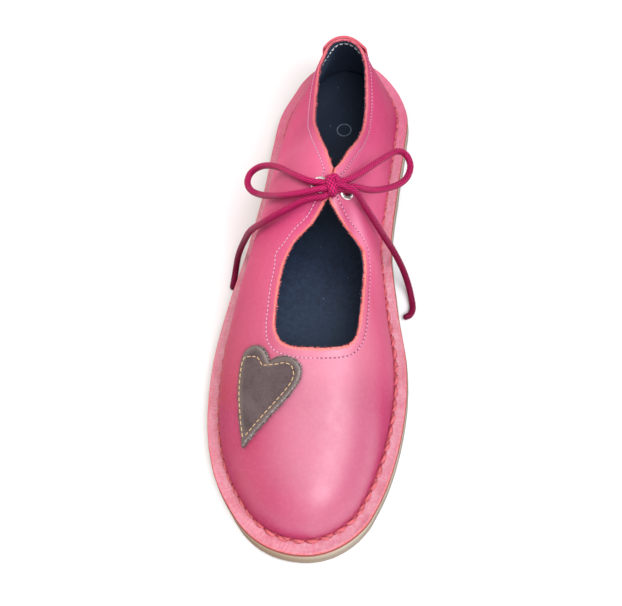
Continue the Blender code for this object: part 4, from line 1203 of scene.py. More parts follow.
def make_upper():
    full, far, edge_xy, crease_xy, out_xy = WALL_LINES
    nu = len(full)
    length = far[:, -1]
    share = np.linspace(0, 1, 58)
    share = share + 0.055 * np.sin(2 * np.pi * share)
    climb = FILLET + (length[:, None] - FILLET) * share[None]
    wall = along_wall(full, far, climb)
    normal = grid_normals(wall, True)
    step = np.linalg.norm(np.roll(crease_xy, -1, 0) - crease_xy, axis=1)
    arc = np.concatenate([[0], np.cumsum(step)[:-1]])
    count = round(step.sum() / SEAM_PITCH)
    phase = 2 * np.pi * arc / step.sum() * count
    move, edge = leather_relief(wall, normal, climb, length, phase)
    wall = wall + normal * move[..., None]
    out3 = np.column_stack([out_xy, np.zeros(nu)])
    up = np.array([0.0, 0.0, 1.0])
    foot = np.column_stack([crease_xy, flange_top(crease_xy[:, 1])])
    rim = np.column_stack([edge_xy, flange_top(edge_xy[:, 1])])
    wide = np.linalg.norm(edge_xy - crease_xy, axis=1)

    rows, cut, foot_mm = [], [], []

    def row(points, is_cut, foot_distance):
        rows.append(points)
        cut.append(np.broadcast_to(is_cut, (nu,)))
        foot_mm.append(np.broadcast_to(foot_distance, (nu,)))

    inner_foot = foot - out3 * LEATHER
    row(inner_foot - up * FLANGE, 0.0, -3.0)
    for s in (0.35, 0.7):
        row(inner_foot + (rim - inner_foot) * s - up * FLANGE, 0.0, -3.0)
    row(rim - out3 * 0.5 - up * FLANGE, 0.4, -8.0)
    for inset, drop in ((0.14, 1.90), (0.0, 1.62), (-0.04, 1.1), (0.0, 0.55), (0.10, 0.26), (0.30, 0.07), (0.60, 0.0)):
        row(rim - out3 * inset - up * drop, 0.56 - 0.2 * step_up(inset, 0.28, 0.62) * (drop < 0.1), -8.0)
    row(rim - out3 * 0.95, 0.12, -wide + 0.95)
    start = 1.4
    for s in np.linspace(0, 1, 8)[0:]:
        at = start + (wide - FILLET - start) * s
        sag = 0.30 * np.sin(np.pi * np.clip(at / wide, 0, 1)) * 0.6
        wave = 0.10 * np.sin(arc * 0.41 + 0.7) * np.sin(np.pi * s) + 0.07 * np.sin(arc * 1.13) * np.sin(np.pi * s)
        p = rim - out3 * at[:, None] + (foot - rim) * [0, 0, 1] * (at / wide)[:, None]
        row(p - up * (sag + wave)[:, None], 0.0, -(wide - at))
    # the turn from flange to wall
    a, b, c = rows[-1], foot, wall[:, 0]
    pull = -0.45 * (0.5 + 0.5 * np.cos(phase)) ** 1.5
    for t in (0.16, 0.32, 0.5, 0.68, 0.84):
        p = (1 - t) ** 2 * a + 2 * t * (1 - t) * b + t * t * c
        row(p + (up - out3 * 0.6) * (pull * np.sin(np.pi * t))[:, None], 0.0, -FILLET * (1 - 2 * t) if t < 0.5 else FILLET * (2 * t - 1))
    lip_cut = lambda d: 1.0 - step_up(d, 0.20, 1.05)
    nick, nick_low = ragged_line(full[:, -1], 31, 0.30), ragged_line(full[:, -1], 32, 0.42)
    for k in range(wall.shape[1]):
        d = length - climb[:, k]
        if k == wall.shape[1] - 1:
            break
        row(wall[:, k], lip_cut(d), climb[:, k])
    # the cut edge
    top, n = wall[:, -1], normal[:, -1]
    rise = wall[:, -1] - wall[:, -3]
    rise /= np.linalg.norm(rise, axis=1, keepdims=True)
    for below, inside in ((0.75, 0.0), (LIP, 0.02), (0.20, 0.10), (0.05, 0.26), (0.0, 0.5), (-0.03, 0.75), (0.0, 1.0), (0.06, 1.25), (0.25, 1.42), (0.6, LEATHER)):
        ragged = np.where(inside > 0.6, nick_low, nick) * (1 - step_up(below, 0.3, 1.0))
        row(top - rise * (below - ragged)[:, None] - n * inside, 1.0, 40.0)
    inner = along_wall(full, far, np.maximum(climb, 2.4))
    inner = inner - grid_normals(inner, True) * LEATHER
    for k in np.linspace(wall.shape[1] - 3, 0, 16).astype(int):
        row(inner[:, k], 0.0, 40.0)
    row(np.column_stack([inner_foot[:, :2], foot[:, 2] + 0.6]), 0.0, 40.0)

    nv = len(rows)
    points = np.stack(rows, 1)
    facing = grid_normals(points, True)
    facing = facing * np.where(facing[..., 2:] < 0, -1.0, 1.0)
    # painted reflection level: strong on the top of the vamp, weak on the lateral walls, the flaps, the flange and the
    # lower toe, standing in for what the surroundings would mirror there
    front = step_up(-points[..., 1], 60.0, 115.0)
    outer = step_up(-facing[..., 0], -0.02, 0.42) * (1 - 0.85 * step_up(-points[..., 1], 92.0, 126.0))
    low_front = step_up(-points[..., 1], 104.0, 128.0)
    front = front * (1 - 0.8 * step_up(-facing[..., 0], 0.12, 0.50) * (1 - 0.35 * low_front))
    flap = step_up(ridge_x(points[..., 1]) - points[..., 0], -2.0, 4.0) * bell(points[..., 1] - 12.0, 24.0)
    gloss = 0.42 + low_front * (0.26 * step_up(facing[..., 0], -0.05, 0.30) - 0.06)
    painted_reflection = step_up(facing[..., 2] + gloss * front, 0.38, 0.92) * (1 - 0.62 * outer) * (1 - 0.45 * flap)
    painted_reflection = painted_reflection * (1 - 0.65 * step_up(-np.stack(foot_mm, 1), 0.4, 1.8))
    painted_reflection = painted_reflection * (1 - 0.42 * step_up(-points[..., 1], 98.0, 124.0) * (1 - step_up(facing[..., 0], -0.10, 0.18)))
    # where the painted highlight on the medial flap lies
    run, off = (points[..., 0] - 27.5) * 0.36 - (points[..., 1] - 8.0) * 0.93, (points[..., 0] - 27.5) * 0.93 + (points[..., 1] - 8.0) * 0.36
    stretch = bell(run, 11.0) * bell(off, 3.4)
    obj = mesh_object(
        "upper_leather", points, [grid_faces(nu, nv, True, True)], LEATHER_SKIN,
        {
            "cut": np.stack(cut, 1), "foot_mm": np.stack(foot_mm, 1), "arc_mm": np.repeat(arc[:, None], nv, 1),
            "painted_reflection": painted_reflection, "stretch": stretch,
        },
    )
    open_eyelets(obj)
    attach(obj, "root")
    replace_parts(obj, "upper")
    return obj, (foot, out3, arc, step.sum(), count)


def open_eyelets(obj):
    """Cuts the lace holes."""
    for row in EYELETS:
        place, axis = eyelet_frame(row)
        bm = bmesh.new()
        bmesh.ops.create_cone(bm, cap_ends=True, segments=48, radius1=3.0 * MM, radius2=3.0 * MM, depth=12 * MM)
        bm.transform(Matrix.Translation(Vector(place * MM)) @ Vector(axis).to_track_quat("Z", "Y").to_matrix().to_4x4())
        mesh = bpy.data.meshes.new("hole")
        bm.to_mesh(mesh)
        bm.free()
        cutter = bpy.data.objects.new("hole", mesh)
        bpy.context.scene.collection.objects.link(cutter)
        cut = obj.modifiers.new("hole", "BOOLEAN")
        cut.operation, cut.solver, cut.object = "DIFFERENCE", "EXACT", cutter
        done = bpy.data.meshes.new_from_object(obj.evaluated_get(bpy.context.evaluated_depsgraph_get()))
        obj.modifiers.clear()
        old, obj.data = obj.data, done
        bpy.data.meshes.remove(old)
        bpy.data.objects.remove(cutter, do_unlink=True)
        bpy.data.meshes.remove(mesh)


UPPER, SEAM = make_upper()


def tree_of(obj):
    bm = bmesh.new()
    bm.from_mesh(obj.data)
    tree = BVHTree.FromBMesh(bm)
    bm.free()
    return tree


UPPER_TREE = tree_of(UPPER)


def on_upper(points, hint=None):
    """The nearest points of the leather, and its normals there."""
    found, normals = np.empty_like(points), np.empty_like(points)
    for i, p in enumerate(points):
        place, n, *_ = UPPER_TREE.find_nearest(Vector(p * MM))
        found[i], normals[i] = np.array(place) / MM, np.array(n)
    return found, normals


def make_lining():
    """The dark lining glued inside, its trimmed edge a little ragged against the leather's."""
    full, far, *_ = whole_wall(44)
    nu = len(full)
    length = far[:, -1]
    lip = full[:, -1]
    step = np.linalg.norm(np.roll(lip, -1, 0) - lip, axis=1)
    arc = np.concatenate([[0], np.cumsum(step)[:-1]])
    rng = np.random.default_rng(11)
    xs, hs, at = [], [], 0.0
    while at < step.sum():
        xs += [at, at + rng.uniform(0.5, 0.9)]
        hs += [rng.uniform(-0.62, -0.25), rng.uniform(0.05, 0.62)]
        at = xs[-1] + rng.uniform(0.5, 1.2)
    rag = np.interp(arc, xs, hs)
    share = np.linspace(0, 1, 24) ** 0.8
    climb = 2.6 + (length[:, None] - 2.6) * share[None]
    base = along_wall(full, far, climb)
    normal = grid_normals(base, True)
    rise = base[:, -1] - base[:, -2]
    rise /= np.linalg.norm(rise, axis=1, keepdims=True)
    floor = sole_top(base[:, 0, 1]) + GAP + INSOLE - 1.0
    inner = base[:, 0] - normal[:, 0] * (LEATHER + 0.52)
    outer = base[:, 0] - normal[:, 0] * (LEATHER + 0.06)
    down = lambda p: np.column_stack([p[:, :2], floor])
    rows = [down(inner)] + [base[:, k] - normal[:, k] * (LEATHER + 0.52) for k in range(23)]
    top, n = base[:, -1], normal[:, -1]
    rows += [
        top - n * (LEATHER + 0.50) - rise * 0.55,
        top - n * (LEATHER + 0.46) + rise * (rag - 0.06)[:, None],
        top - n * (LEATHER + 0.28) + rise * (rag + 0.05)[:, None],
        top - n * (LEATHER + 0.10 - 0.25 * np.clip(rag, 0, 1))[:, None] + rise * (rag + 0.02)[:, None],
        top - n * (LEATHER + 0.05) - rise * 0.5,
    ]
    rows += [base[:, k] - normal[:, k] * (LEATHER + 0.06) for k in (22, 18, 12, 6, 0)] + [down(outer)]
    points = np.stack(rows, 1)
    obj = mesh_object("upper_lining", points, [grid_faces(nu, len(rows), True, True)], LINING_SKIN)
    punch_lining(obj)
    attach(obj, "root")
    return obj


def punch_lining(obj):
    """Opens the lining behind each eyelet and joins its two faces round the hole."""
    for row in EYELETS:
        place, axis = eyelet_frame(row)
        place, axis = Vector(place * MM), Vector(axis)
        bm = bmesh.new()
        bm.from_mesh(obj.data)
        gone = []
        for face in bm.faces:
            off = face.calc_center_median() - place
            along = off.dot(axis)
            if abs(along) < 5 * MM and (off - axis * along).length < 2.7 * MM:
                gone.append(face)
        bmesh.ops.delete(bm, geom=gone, context="FACES")
        bmesh.ops.bridge_loops(bm, edges=[e for e in bm.edges if e.is_boundary])
        bmesh.ops.recalc_face_normals(bm, faces=bm.faces)
        bm.to_mesh(obj.data)
        bm.free()
    obj.data.shade_smooth()


LINING = make_lining()


def make_raw_edge():
    """Nibs and loose fibres of the cut leather along the topline."""
    rng = np.random.default_rng(21)
    ahead = np.roll(LIP_POINTS, -1, 0) - LIP_POINTS
    far = np.concatenate([[0], np.cumsum(np.linalg.norm(ahead, axis=1))])
    close = lambda a: np.concatenate([a, a[:1]])
    pick = lambda a, at: np.stack([np.interp(at, far, close(a)[:, k]) for k in range(3)], -1)
    for name, gap, inside, lengths, radii, skin in (
        ("raw_edge_nibs", 1.25, (0.3, 1.5), (0.45, 1.3), (0.18, 0.40), NIB_SKIN),
        ("raw_edge_fibres", 0.42, (0.3, 1.5), (0.3, 0.75), (0.05, 0.10), NIB_SKIN),
        ("lining_tufts", 1.05, (1.65, 1.95), (0.6, 1.5), (0.15, 0.34), TUFT_SKIN),
    ):
        count = int(far[-1] / gap)
        at = (np.arange(count) + rng.uniform(-0.42, 0.42, count)) * gap % far[-1]
        base, n, up, along = (pick(a, at) for a in (LIP_POINTS, LIP_NORMAL, LIP_UP, ahead))
        along /= np.linalg.norm(along, axis=1, keepdims=True)
        u = lambda a, b: rng.uniform(a, b, (count, 1))
        depth = u(*inside)
        if name == "raw_edge_nibs":
            start = base - n * depth - up * 0.25
            way = up + n * u(-1.0, 0.1) + along * u(-0.6, 0.6)
        elif name == "lining_tufts":
            start = base - n * depth - up * 0.3
            way = up * u(0.25, 0.7) + n + along * u(-0.5, 0.5)
        else:
            start = base - n * depth - up * 0.08
            way = -n * u(-0.4, 0.9) + up * u(0.3, 1.0) + along * u(-0.8, 0.8)
        obj = fibres(name, start, way, rng.uniform(*lengths, count), rng.uniform(*radii, count), skin, n if name == "raw_edge_nibs" else None)
        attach(obj, "root")


make_raw_edge()


# ================================================================ seams
def needle_holes(name, pieces, radius, skin=HOLE_SKIN):
    """The dark pricks between stitches, as shallow rings round each thread's ends; their dark colour is painted shade
    in the holes.
    """
    ends = np.array([p[0] for p, n in pieces] + [p[-1] for p, n in pieces])
    ways = np.array([n[0] for p, n in pieces] + [n[-1] for p, n in pieces])
    sides = 9
    turn = 2 * np.pi * np.arange(sides) / sides
    one = np.cross(ways, [0.31, 0.77, 0.55])
    one /= np.linalg.norm(one, axis=1, keepdims=True)
    two = np.cross(ways, one)
    ring = np.cos(turn)[None, :, None] * one[:, None] + np.sin(turn)[None, :, None] * two[:, None]
    rows = [ends[:, None] + ring * radius * r + ways[:, None] * h for r, h in ((1.0, -0.05), (0.92, 0.035), (0.45, 0.02), (0.45, -0.25))]
    points = np.stack(rows, 1)
    shift = (np.arange(len(ends)) * 4 * sides)[:, None]
    faces = [
        (grid_faces(4, sides, False, True)[None] + shift[..., None]).reshape(-1, 4),
        np.arange(sides)[None, ::-1] + shift, 3 * sides + np.arange(sides)[None] + shift,
    ]
    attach(mesh_object(name, points, faces, skin), "root")


def make_sole_seam():
    """The thick thread that sews the flange to the sole, lying in the turn of the leather."""
    foot, out3, arc, total, count = SEAM
    pieces, thick = [], []
    close = lambda a: np.concatenate([a, a[:1]])
    far = np.concatenate([arc, [total]])
    up = np.array([0.0, 0.0, 1.0])
    seat = foot + out3 * 0.95 + up * 0.36
    lean = out3 * 0.72 + up
    for k in range(count):
        at = (k + np.array([0.06, 0.2, 0.35, 0.5, 0.65, 0.8, 0.94])) / count * total
        line = np.stack([np.interp(at, far, close(seat)[:, c]) for c in range(3)], -1)
        way = np.stack([np.interp(at, far, close(lean)[:, c]) for c in range(3)], -1)
        out = np.stack([np.interp(at, far, close(out3)[:, c]) for c in range(3)], -1)
        behind = step_up(line[3, 1], -40.0, 20.0)
        drawn = step_up(-out[3, 0], 0.35, 0.85) * (0.55 + 0.45 * behind) + 0.8 * step_up(out[3, 0], 0.35, 0.85) * behind
        line = line - out * 0.75 * drawn - up * 0.30 * drawn
        thick.append(SEAM_THREAD / 2 * (1 - 0.42 * drawn))
        pieces.append((line, way / np.linalg.norm(way, axis=1, keepdims=True)))
    obj = stitches("seam_sole", pieces, thick, SEAM_SKIN, sides=14, rings=21, lift=0.40, dip=0.9, twists=1.3, ply=0.14, taper=0.55, power=3)
    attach(obj, "root")
    needle_holes("seam_sole_holes", [(p + n * 0.1, n) for p, n in pieces], 0.62, SOLE_HOLE_SKIN)


make_sole_seam()


def sewn_line(line, normals, pitch, fill, skip=None):
    """Stitches of one pitch along a line on a surface; fill is the share of the pitch that shows thread."""
    far = np.concatenate([[0], np.cumsum(np.linalg.norm(np.diff(line, axis=0), axis=1))])
    count = max(1, int(far[-1] // pitch))
    pieces = []
    for k in range(count):
        at = (k + 0.5 + fill * np.linspace(-0.5, 0.5, 4)) * pitch
        p = np.stack([np.interp(at, far, line[:, c]) for c in range(3)], -1)
        n = np.stack([np.interp(at, far, normals[:, c]) for c in range(3)], -1)
        if skip is not None and skip(p.mean(0)):
            continue
        pieces.append((p, n / np.linalg.norm(n, axis=1, keepdims=True)))
    return pieces


def make_top_seam():
    """Fine stitches that follow the cut edge."""
    ahead = np.roll(LIP_POINTS, -2, 0) - np.roll(LIP_POINTS, 2, 0)
    ahead /= np.linalg.norm(ahead, axis=1, keepdims=True)
    away = np.cross(ahead, LIP_NORMAL)
    away *= np.sign(np.einsum("ij,ij->i", away, -LIP_UP))[:, None]
    away /= np.linalg.norm(away, axis=1, keepdims=True)
    deep = TOP_SEAM + 0.7 * step_up(-away[:, 1], 0.45, 0.95) * (LIP_POINTS[:, 1] < 0)
    for x, y, extra, reach in TOP_SEAM_CORNERS:
        deep = deep + extra * bell(np.hypot(LIP_POINTS[:, 0] - x, LIP_POINTS[:, 1] - y), reach)
    guess, normals = on_upper(LIP_POINTS + away * deep[:, None])
    good = np.array([LIP_TREE.find(p)[2] > TOP_SEAM - 0.45 for p in guess])
    holes = [eyelet_frame(row)[0] for row in EYELETS]
    near_hole = lambda p: any(np.linalg.norm(p - h) < 4.9 for h in holes)
    guess, normals = guess[good], normals[good]
    smooth_line = guess.copy()
    for _ in range(3):
        smooth_line = 0.25 * np.roll(smooth_line, 1, 0) + 0.5 * smooth_line + 0.25 * np.roll(smooth_line, -1, 0)
    line, normals = on_upper(resample(smooth_line, 0.7, True)[0])
    inner_side = lambda p: p[0] > float(ridge_x(p[1])) + 1.0
    for name, skip, fill, hole, skin in (
        ("seam_topline_lateral", lambda p: near_hole(p) or inner_side(p), 0.76, 0.30, TOP_SKIN),
        ("seam_topline_medial", lambda p: near_hole(p) or not inner_side(p), 0.62, 0.44, TOP_PINK_SKIN),
    ):
        sewn = sewn_line(line, normals, TOP_PITCH, fill, skip)
        obj = stitches(name, sewn, TOP_THREAD / 2, skin, sides=8, rings=9, lift=0.30, dip=1.2, twists=1.2)
        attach(obj, "root")
        needle_holes(name + "_holes", sewn, hole)


make_top_seam()


# ================================================================ the heart
def make_heart():
    rim = resample(smooth_outline(HEART, HEART_COLUMNS, 30), 0.42, True)[0]
    rng = np.random.default_rng(5)
    ragged = rng.normal(0, 1, len(rim))
    ragged = 0.5 * ragged + 0.3 * np.roll(ragged, 1) + 0.3 * np.roll(ragged, -1)
    slow = np.convolve(np.tile(rng.normal(0, 1, len(rim)), 3), np.ones(9) / 9, "same")[len(rim):2 * len(rim)]
    ahead = np.roll(rim, -1, 0) - np.roll(rim, 1, 0)
    ahead /= np.linalg.norm(ahead, axis=1, keepdims=True)
    out = np.column_stack([ahead[:, 1], -ahead[:, 0]])
    middle = np.array([-16.0, -66.0])
    out *= np.sign(((rim - middle) * out).sum())
    edge = rim + out * (0.13 * ragged + 0.35 * slow)[:, None]
    rings = np.concatenate([[1.0, 0.996, 0.988, 0.975, 0.955, 0.93], np.linspace(0.90, 0.04, 40)])
    plan = middle + rings[None, :, None] * (edge - middle)[:, None]
    flat = plan.reshape(-1, 2)
    inside = np.array([np.min(np.hypot(*(rim - p).T)) for p in flat]).reshape(plan.shape[:2])
    inside[:, 0] = 0.0
    fray = 0.10 * rng.normal(0, 1, inside.shape) * bell(inside, 0.5)
    right = step_up(out[:, 0], 0.2, 0.9)
    deep = HEART_SEAM + 1.05 * bell(np.arccos(np.clip(out @ [0.97, 0.24], -1, 1)), 0.5) - 2.0 * step_up(-out[:, 0], 0.2, 0.95)
    deep = deep + 2.2 * bell(np.hypot(*(rim - HEART[5][:2]).T), 6.0)
    seam = rim - out * deep[:, None]
    gap = np.array([np.hypot(*(rim - p).T) for p in seam])
    ends = np.roll(rim, -1, 0)
    spans = (rim[None, :, 1] > seam[:, None, 1]) != (ends[None, :, 1] > seam[:, None, 1])
    rise = np.where(np.abs(ends[:, 1] - rim[:, 1]) < 1e-9, 1e-9, ends[:, 1] - rim[:, 1])
    cross = rim[None, :, 0] + (seam[:, None, 1] - rim[None, :, 1]) * ((ends[:, 0] - rim[:, 0]) / rise)[None]
    within = (spans & (seam[:, None, 0] < cross)).sum(1) % 2 == 1
    seam = resample(seam[within & (np.min(gap - deep, 1) > -0.15) & (np.min(gap, 1) > 0.85)], 0.5, True)[0]
    off_seam = np.array([np.min(np.hypot(*(seam - p).T)) for p in flat]).reshape(plan.shape[:2])
    lobe = step_up(plan[..., 1], -62.0, -50.0) * bell(inside, 3.2)
    lift = 0.40 * bell(inside, 2.2) + 0.35 * lobe + 0.45 * right[:, None] * bell(inside, 2.4)
    high = 1.2 * (1 - 0.75 * bell(inside, 0.28)) - 0.34 * bell(off_seam, 0.8) + 0.10 * bell(inside - 8.0, 3.0) + lift + fray
    e = 0.25
    z = surface_z(plan[..., 0], plan[..., 1])
    gx = (surface_z(plan[..., 0] + e, plan[..., 1]) - surface_z(plan[..., 0] - e, plan[..., 1])) / (2 * e)
    gy = (surface_z(plan[..., 0], plan[..., 1] + e) - surface_z(plan[..., 0], plan[..., 1] - e)) / (2 * e)
    n = np.stack([-gx, -gy, np.ones_like(gx)], -1)
    n /= np.linalg.norm(n, axis=-1, keepdims=True)
    base = np.concatenate([plan, z[..., None]], -1)
    over = base + n * (0.18 + high)[..., None]
    under = base + n * (0.16 + 0.6 * lift)[..., None]
    nu, nv = over.shape[:2]
    points = np.concatenate([over[:, ::-1], under], 1)
    rim_mm = np.concatenate([inside[:, ::-1], inside * 0], 1)
    faces = [grid_faces(nu, 2 * nv, True, False)]
    loop = np.arange(nu)
    faces += [(loop * 2 * nv)[None], (loop * 2 * nv + 2 * nv - 1)[None, ::-1]]
    raised = np.concatenate([lift[:, ::-1], lift], 1)
    obj = mesh_object("heart_nubuck", points, faces, NUBUCK_SKIN, {"rim_mm": rim_mm, "raised": raised})
    clean(obj)
    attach(obj, "root")
    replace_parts(obj, "heart_patch")

    tree = tree_of(obj)
    line, normals = np.empty((len(seam), 3)), np.empty((len(seam), 3))
    for i, (x, y) in enumerate(seam):
        place, normal = surface_frame(x, y)
        hit, n_hit, *_ = tree.ray_cast(Vector((place + normal * 6) * MM), Vector(-normal), 0.012)
        line[i] = np.array(hit) / MM if hit is not None else place + normal * 1.2
        normals[i] = normal
    count = 1500
    pick = rng.integers(0, len(rim), count)
    start = over[pick, 0] - n[pick, 0] * rng.uniform(0.0, 0.9, (count, 1))
    way = np.column_stack([out[pick], np.zeros(count)]) + n[pick, 0] * rng.uniform(-0.5, 0.9, (count, 1)) + rng.normal(0, 0.45, (count, 3))
    fuzz = fibres("heart_fibres", start, way, rng.uniform(0.35, 1.25, count), rng.uniform(0.04, 0.09, count), FUZZ_SKIN)
    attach(fuzz, "root")
    count = 110
    pick = rng.choice(np.flatnonzero(right > 0.3), count)
    way = np.column_stack([out[pick], np.zeros(count)]) * rng.uniform(-0.3, 1.0, (count, 1)) + n[pick, 0] * 0.4 + rng.normal(0, 0.6, (count, 3))
    specks = fibres("heart_specks", over[pick, rng.integers(0, 5, count)], way, rng.uniform(0.3, 0.9, count), rng.uniform(0.07, 0.16, count), SPECK_SKIN)
    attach(specks, "root")
    sewn = stitches("seam_heart", sewn_line(line, normals, HEART_PITCH, 0.74), HEART_THREAD / 2, HEART_SKIN, sides=8, rings=9, lift=0.4, dip=1.3, twists=1.4)
    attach(sewn, "root")


make_heart()


# ================================================================ the heel tab
def heel_tab_grid(nu, nv):
    """Points on the leather's outside under the heel patch; its lower corners are rounded."""
    u = np.linspace(0, 5, 201)
    points = np.empty((nu, nv, 3))
    across = np.linspace(-1, 1, nu)
    for side, pick in (("medial", across >= 0), ("lateral", across < 0)):
        full, far = wall_curves(side, u)
        rim = full[:, -1]
        reach = np.concatenate([[0], np.cumsum(np.linalg.norm(np.diff(rim, axis=0), axis=1))])
        a = np.abs(across[pick])[:, None]
        down = np.linspace(1, 0, nv)[None]
        at = np.interp(a * HEEL_TAB_HALF * (1 - HEEL_TAB_TAPER * down), reach, u)
        deep = HEEL_TAB_DEPTH * (1 - 0.42 * a**4) * down
        lines, dist = wall_curves(side, at.ravel())
        points[pick] = along_wall(lines, dist, (dist[:, -1] - deep.ravel())[:, None])[:, 0].reshape(-1, nv, 3)
    return points


def make_heel_tab():
    nu, nv = 96, 64
    grid = heel_tab_grid(nu, nv)
    normal = grid_normals(grid, False)
    a = np.linspace(-1, 1, nu)[:, None]
    d = np.linspace(1, 0, nv)[None]
    side_mm = (1 - np.abs(a)) * HEEL_TAB_HALF * (1 - HEEL_TAB_TAPER * d)
    low_mm = (1 - d) * HEEL_TAB_DEPTH * (1 - 0.42 * a**4)
    top_mm = d * HEEL_TAB_DEPTH * (1 - 0.42 * a**4)
    rim = np.minimum(np.minimum(side_mm, low_mm), top_mm)
    rng = np.random.default_rng(3)
    away = 0.14 + np.where(a > 0, 0.95, 0.35) * np.abs(a) ** 6 * bell(top_mm, 9.0)
    thick = PATCH * (1 - 0.55 * bell(rim, 0.35)) - 0.18 * bell(np.minimum(side_mm, low_mm) - 2.6, 0.7) + 0.015 * rng.normal(0, 1, rim.shape)
    over = grid + normal * (away + thick)[..., None]
    under = grid + normal * (away * 0.9)[..., None]
    at = lambda k, i, j: k * nu * nv + i * nv + j
    faces = [grid_faces(nu, nv, first=nu * nv), grid_faces(nu, nv)[:, ::-1]]
    i, j = np.arange(nu - 1), np.arange(nv - 1)
    for jj, flip in ((0, False), (nv - 1, True)):
        f = np.stack([at(0, i, jj), at(0, i + 1, jj), at(1, i + 1, jj), at(1, i, jj)], -1)
        faces.append(f[:, ::-1] if flip else f)
    for ii, flip in ((0, True), (nu - 1, False)):
        f = np.stack([at(0, ii, j), at(0, ii, j + 1), at(1, ii, j + 1), at(1, ii, j)], -1)
        faces.append(f[:, ::-1] if flip else f)
    cut = 1.0 - step_up(rim, 0.30, 0.95)
    points = np.concatenate([under.reshape(-1, 3), over.reshape(-1, 3)])
    # the tab gets a low, even painted reflection level
    obj = mesh_object("heel_tab_leather", points, faces, TAB_SKIN, {"cut": np.concatenate([np.ones(nu * nv), cut.ravel()]), "painted_reflection": np.full(2 * nu * nv, 0.15)}, 1.1)
    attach(obj, "root")
    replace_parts(obj, "heel_tab")
    # the seam of the tab, 2.6 mm inside its sides and lower edge
    path = []
    for s in np.linspace(0, 1, 240):
        if s < 0.3:
            path.append((-1, 1 - s / 0.3))
        elif s < 0.7:
            path.append((-1 + 2 * (s - 0.3) / 0.4, 0))
        else:
            path.append((1, (s - 0.7) / 0.3))
    iu, jv, line, norm = np.arange(nu), np.arange(nv), [], []
    for pa, pj in path:
        fi = (pa + 1) / 2 * (nu - 1)
        fj = pj * (nv - 1)
        inset_u = 2.6 / (2 * HEEL_TAB_HALF * 0.86) * (nu - 1)
        inset_v = 2.6 / HEEL_TAB_DEPTH * (nv - 1)
        fi = np.clip(fi, inset_u, nu - 1 - inset_u)
        fj = np.clip(fj, inset_v, nv - 1 - 1.0)
        i0, j0 = int(fi), int(fj)
        i1, j1 = min(i0 + 1, nu - 1), min(j0 + 1, nv - 1)
        wi, wj = fi - i0, fj - j0
        pick = lambda g: (1 - wi) * (1 - wj) * g[i0, j0] + wi * (1 - wj) * g[i1, j0] + (1 - wi) * wj * g[i0, j1] + wi * wj * g[i1, j1]
        line.append(pick(over))
        norm.append(pick(normal))
    line, norm = np.array(line), np.array(norm)
    sewn = stitches("seam_heel_tab", sewn_line(line, norm, 2.3, 0.78), TOP_THREAD / 2, TOP_SKIN, sides=8, rings=9, lift=0.35, dip=1.2, twists=1.2)
    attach(sewn, "root")


make_heel_tab()


def make_back_seam():
    """Pale stitches that hold the lining at the back of the collar."""
    pieces = []
    tree = tree_of(LINING)
    for side in ("lateral", "medial"):
        u = np.linspace(0, 4.6 if side == "lateral" else 3.6, 140)
        full, far = wall_curves(side, u)
        grid = along_wall(full, far, far[:, -1:] - np.array([[9.0, 8.0, 7.0]]))
        normal = grid_normals(grid, False)[:, 1]
        if side == "lateral":
            normal = -normal
        guess = grid[:, 1] - normal * (LEATHER + 0.55)
        line, inward = np.empty_like(guess), np.empty_like(guess)
        for i, p in enumerate(guess):
            place, n, *_ = tree.find_nearest(Vector(p * MM))
            line[i], inward[i] = np.array(place) / MM, np.array(n)
        pieces += sewn_line(line, inward, 3.0, 0.72)
    back = max(p[:, 1].max() for p, n in pieces)
    thick = [0.42 - 0.20 * float(step_up(back - p[:, 1].mean(), 3.0, 9.0)) for p, n in pieces]
    obj = stitches("seam_collar_back", pieces, thick, BACK_SKIN, sides=8, rings=9, lift=0.55, dip=1.2, twists=1.4)
    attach(obj, "root")


make_back_seam()


# ================================================================ eyelets, insole, sole
def make_eyelets():
    hole, outer = EYELET_HOLE / 2 - 0.3, EYELET_OUTER / 2
    mid, half = (hole + outer) / 2, (outer - hole) / 2
    arc = np.linspace(np.pi, 0, 22)
    profile = [(hole, -4.2), (hole, -3.0), (hole, -1.5), (hole, -0.2)]
    profile += [(mid + half * np.cos(t), 0.35 + (0.95 if np.cos(t) < 0 else 0.85) * np.sin(t) ** 0.9) for t in arc]
    profile += [(outer - 0.05, 0.05), (outer - 0.3, -0.15), (hole + 0.5, -0.2), (hole + 0.4, -0.6), (hole + 0.4, -3.6), (outer - 1.1, -3.7), (outer - 1.0, -4.0), (outer - 1.3, -4.25)]
    profile = np.array(profile)
    segments = 72
    for row in EYELETS:
        place, axis = eyelet_frame(row)
        place = place - axis * 0.1
        turn_to = np.array(Vector(axis).to_track_quat("Z", "Y").to_matrix())
        a = 2 * np.pi * np.arange(segments) / segments
        wobble = 1 + 0.006 * np.sin(3 * a + 1.0)
        ring = np.stack([profile[:, 0, None] * np.cos(a) * wobble, profile[:, 0, None] * np.sin(a) * wobble, np.repeat(profile[:, 1, None], segments, 1)], -1)
        points = place + ring @ turn_to.T
        obj = mesh_object("eyelet_ring_" + row[0], points, [grid_faces(len(profile), segments, True, True)], METAL_SKIN, None, 1.0)
        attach(obj, "root")
        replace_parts(obj, "eyelet_" + row[0])


make_eyelets()


def plan_ladder(n, m, inset):
    """Grid from the lateral to the medial edge at each station, moved in from the flange edge."""
    s = (1 - np.cos(np.linspace(0, np.pi, n + 1))) / 2
    move = inset(s) if callable(inset) else np.full_like(s, inset)
    med = outline("medial", s) - outward("medial", s) * move[:, None]
    lat = outline("lateral", s) - outward("lateral", s) * move[:, None]
    t = np.linspace(0, 1, m + 1)
    t = t + 0.08 * np.sin(4 * np.pi * t) * 0 - 0.06 * np.sin(2 * np.pi * t)
    return lat[:, None] + (med - lat)[:, None] * t[None, :, None], np.minimum(t, 1 - t)[None, :] * np.linalg.norm(med - lat, axis=1)[:, None]


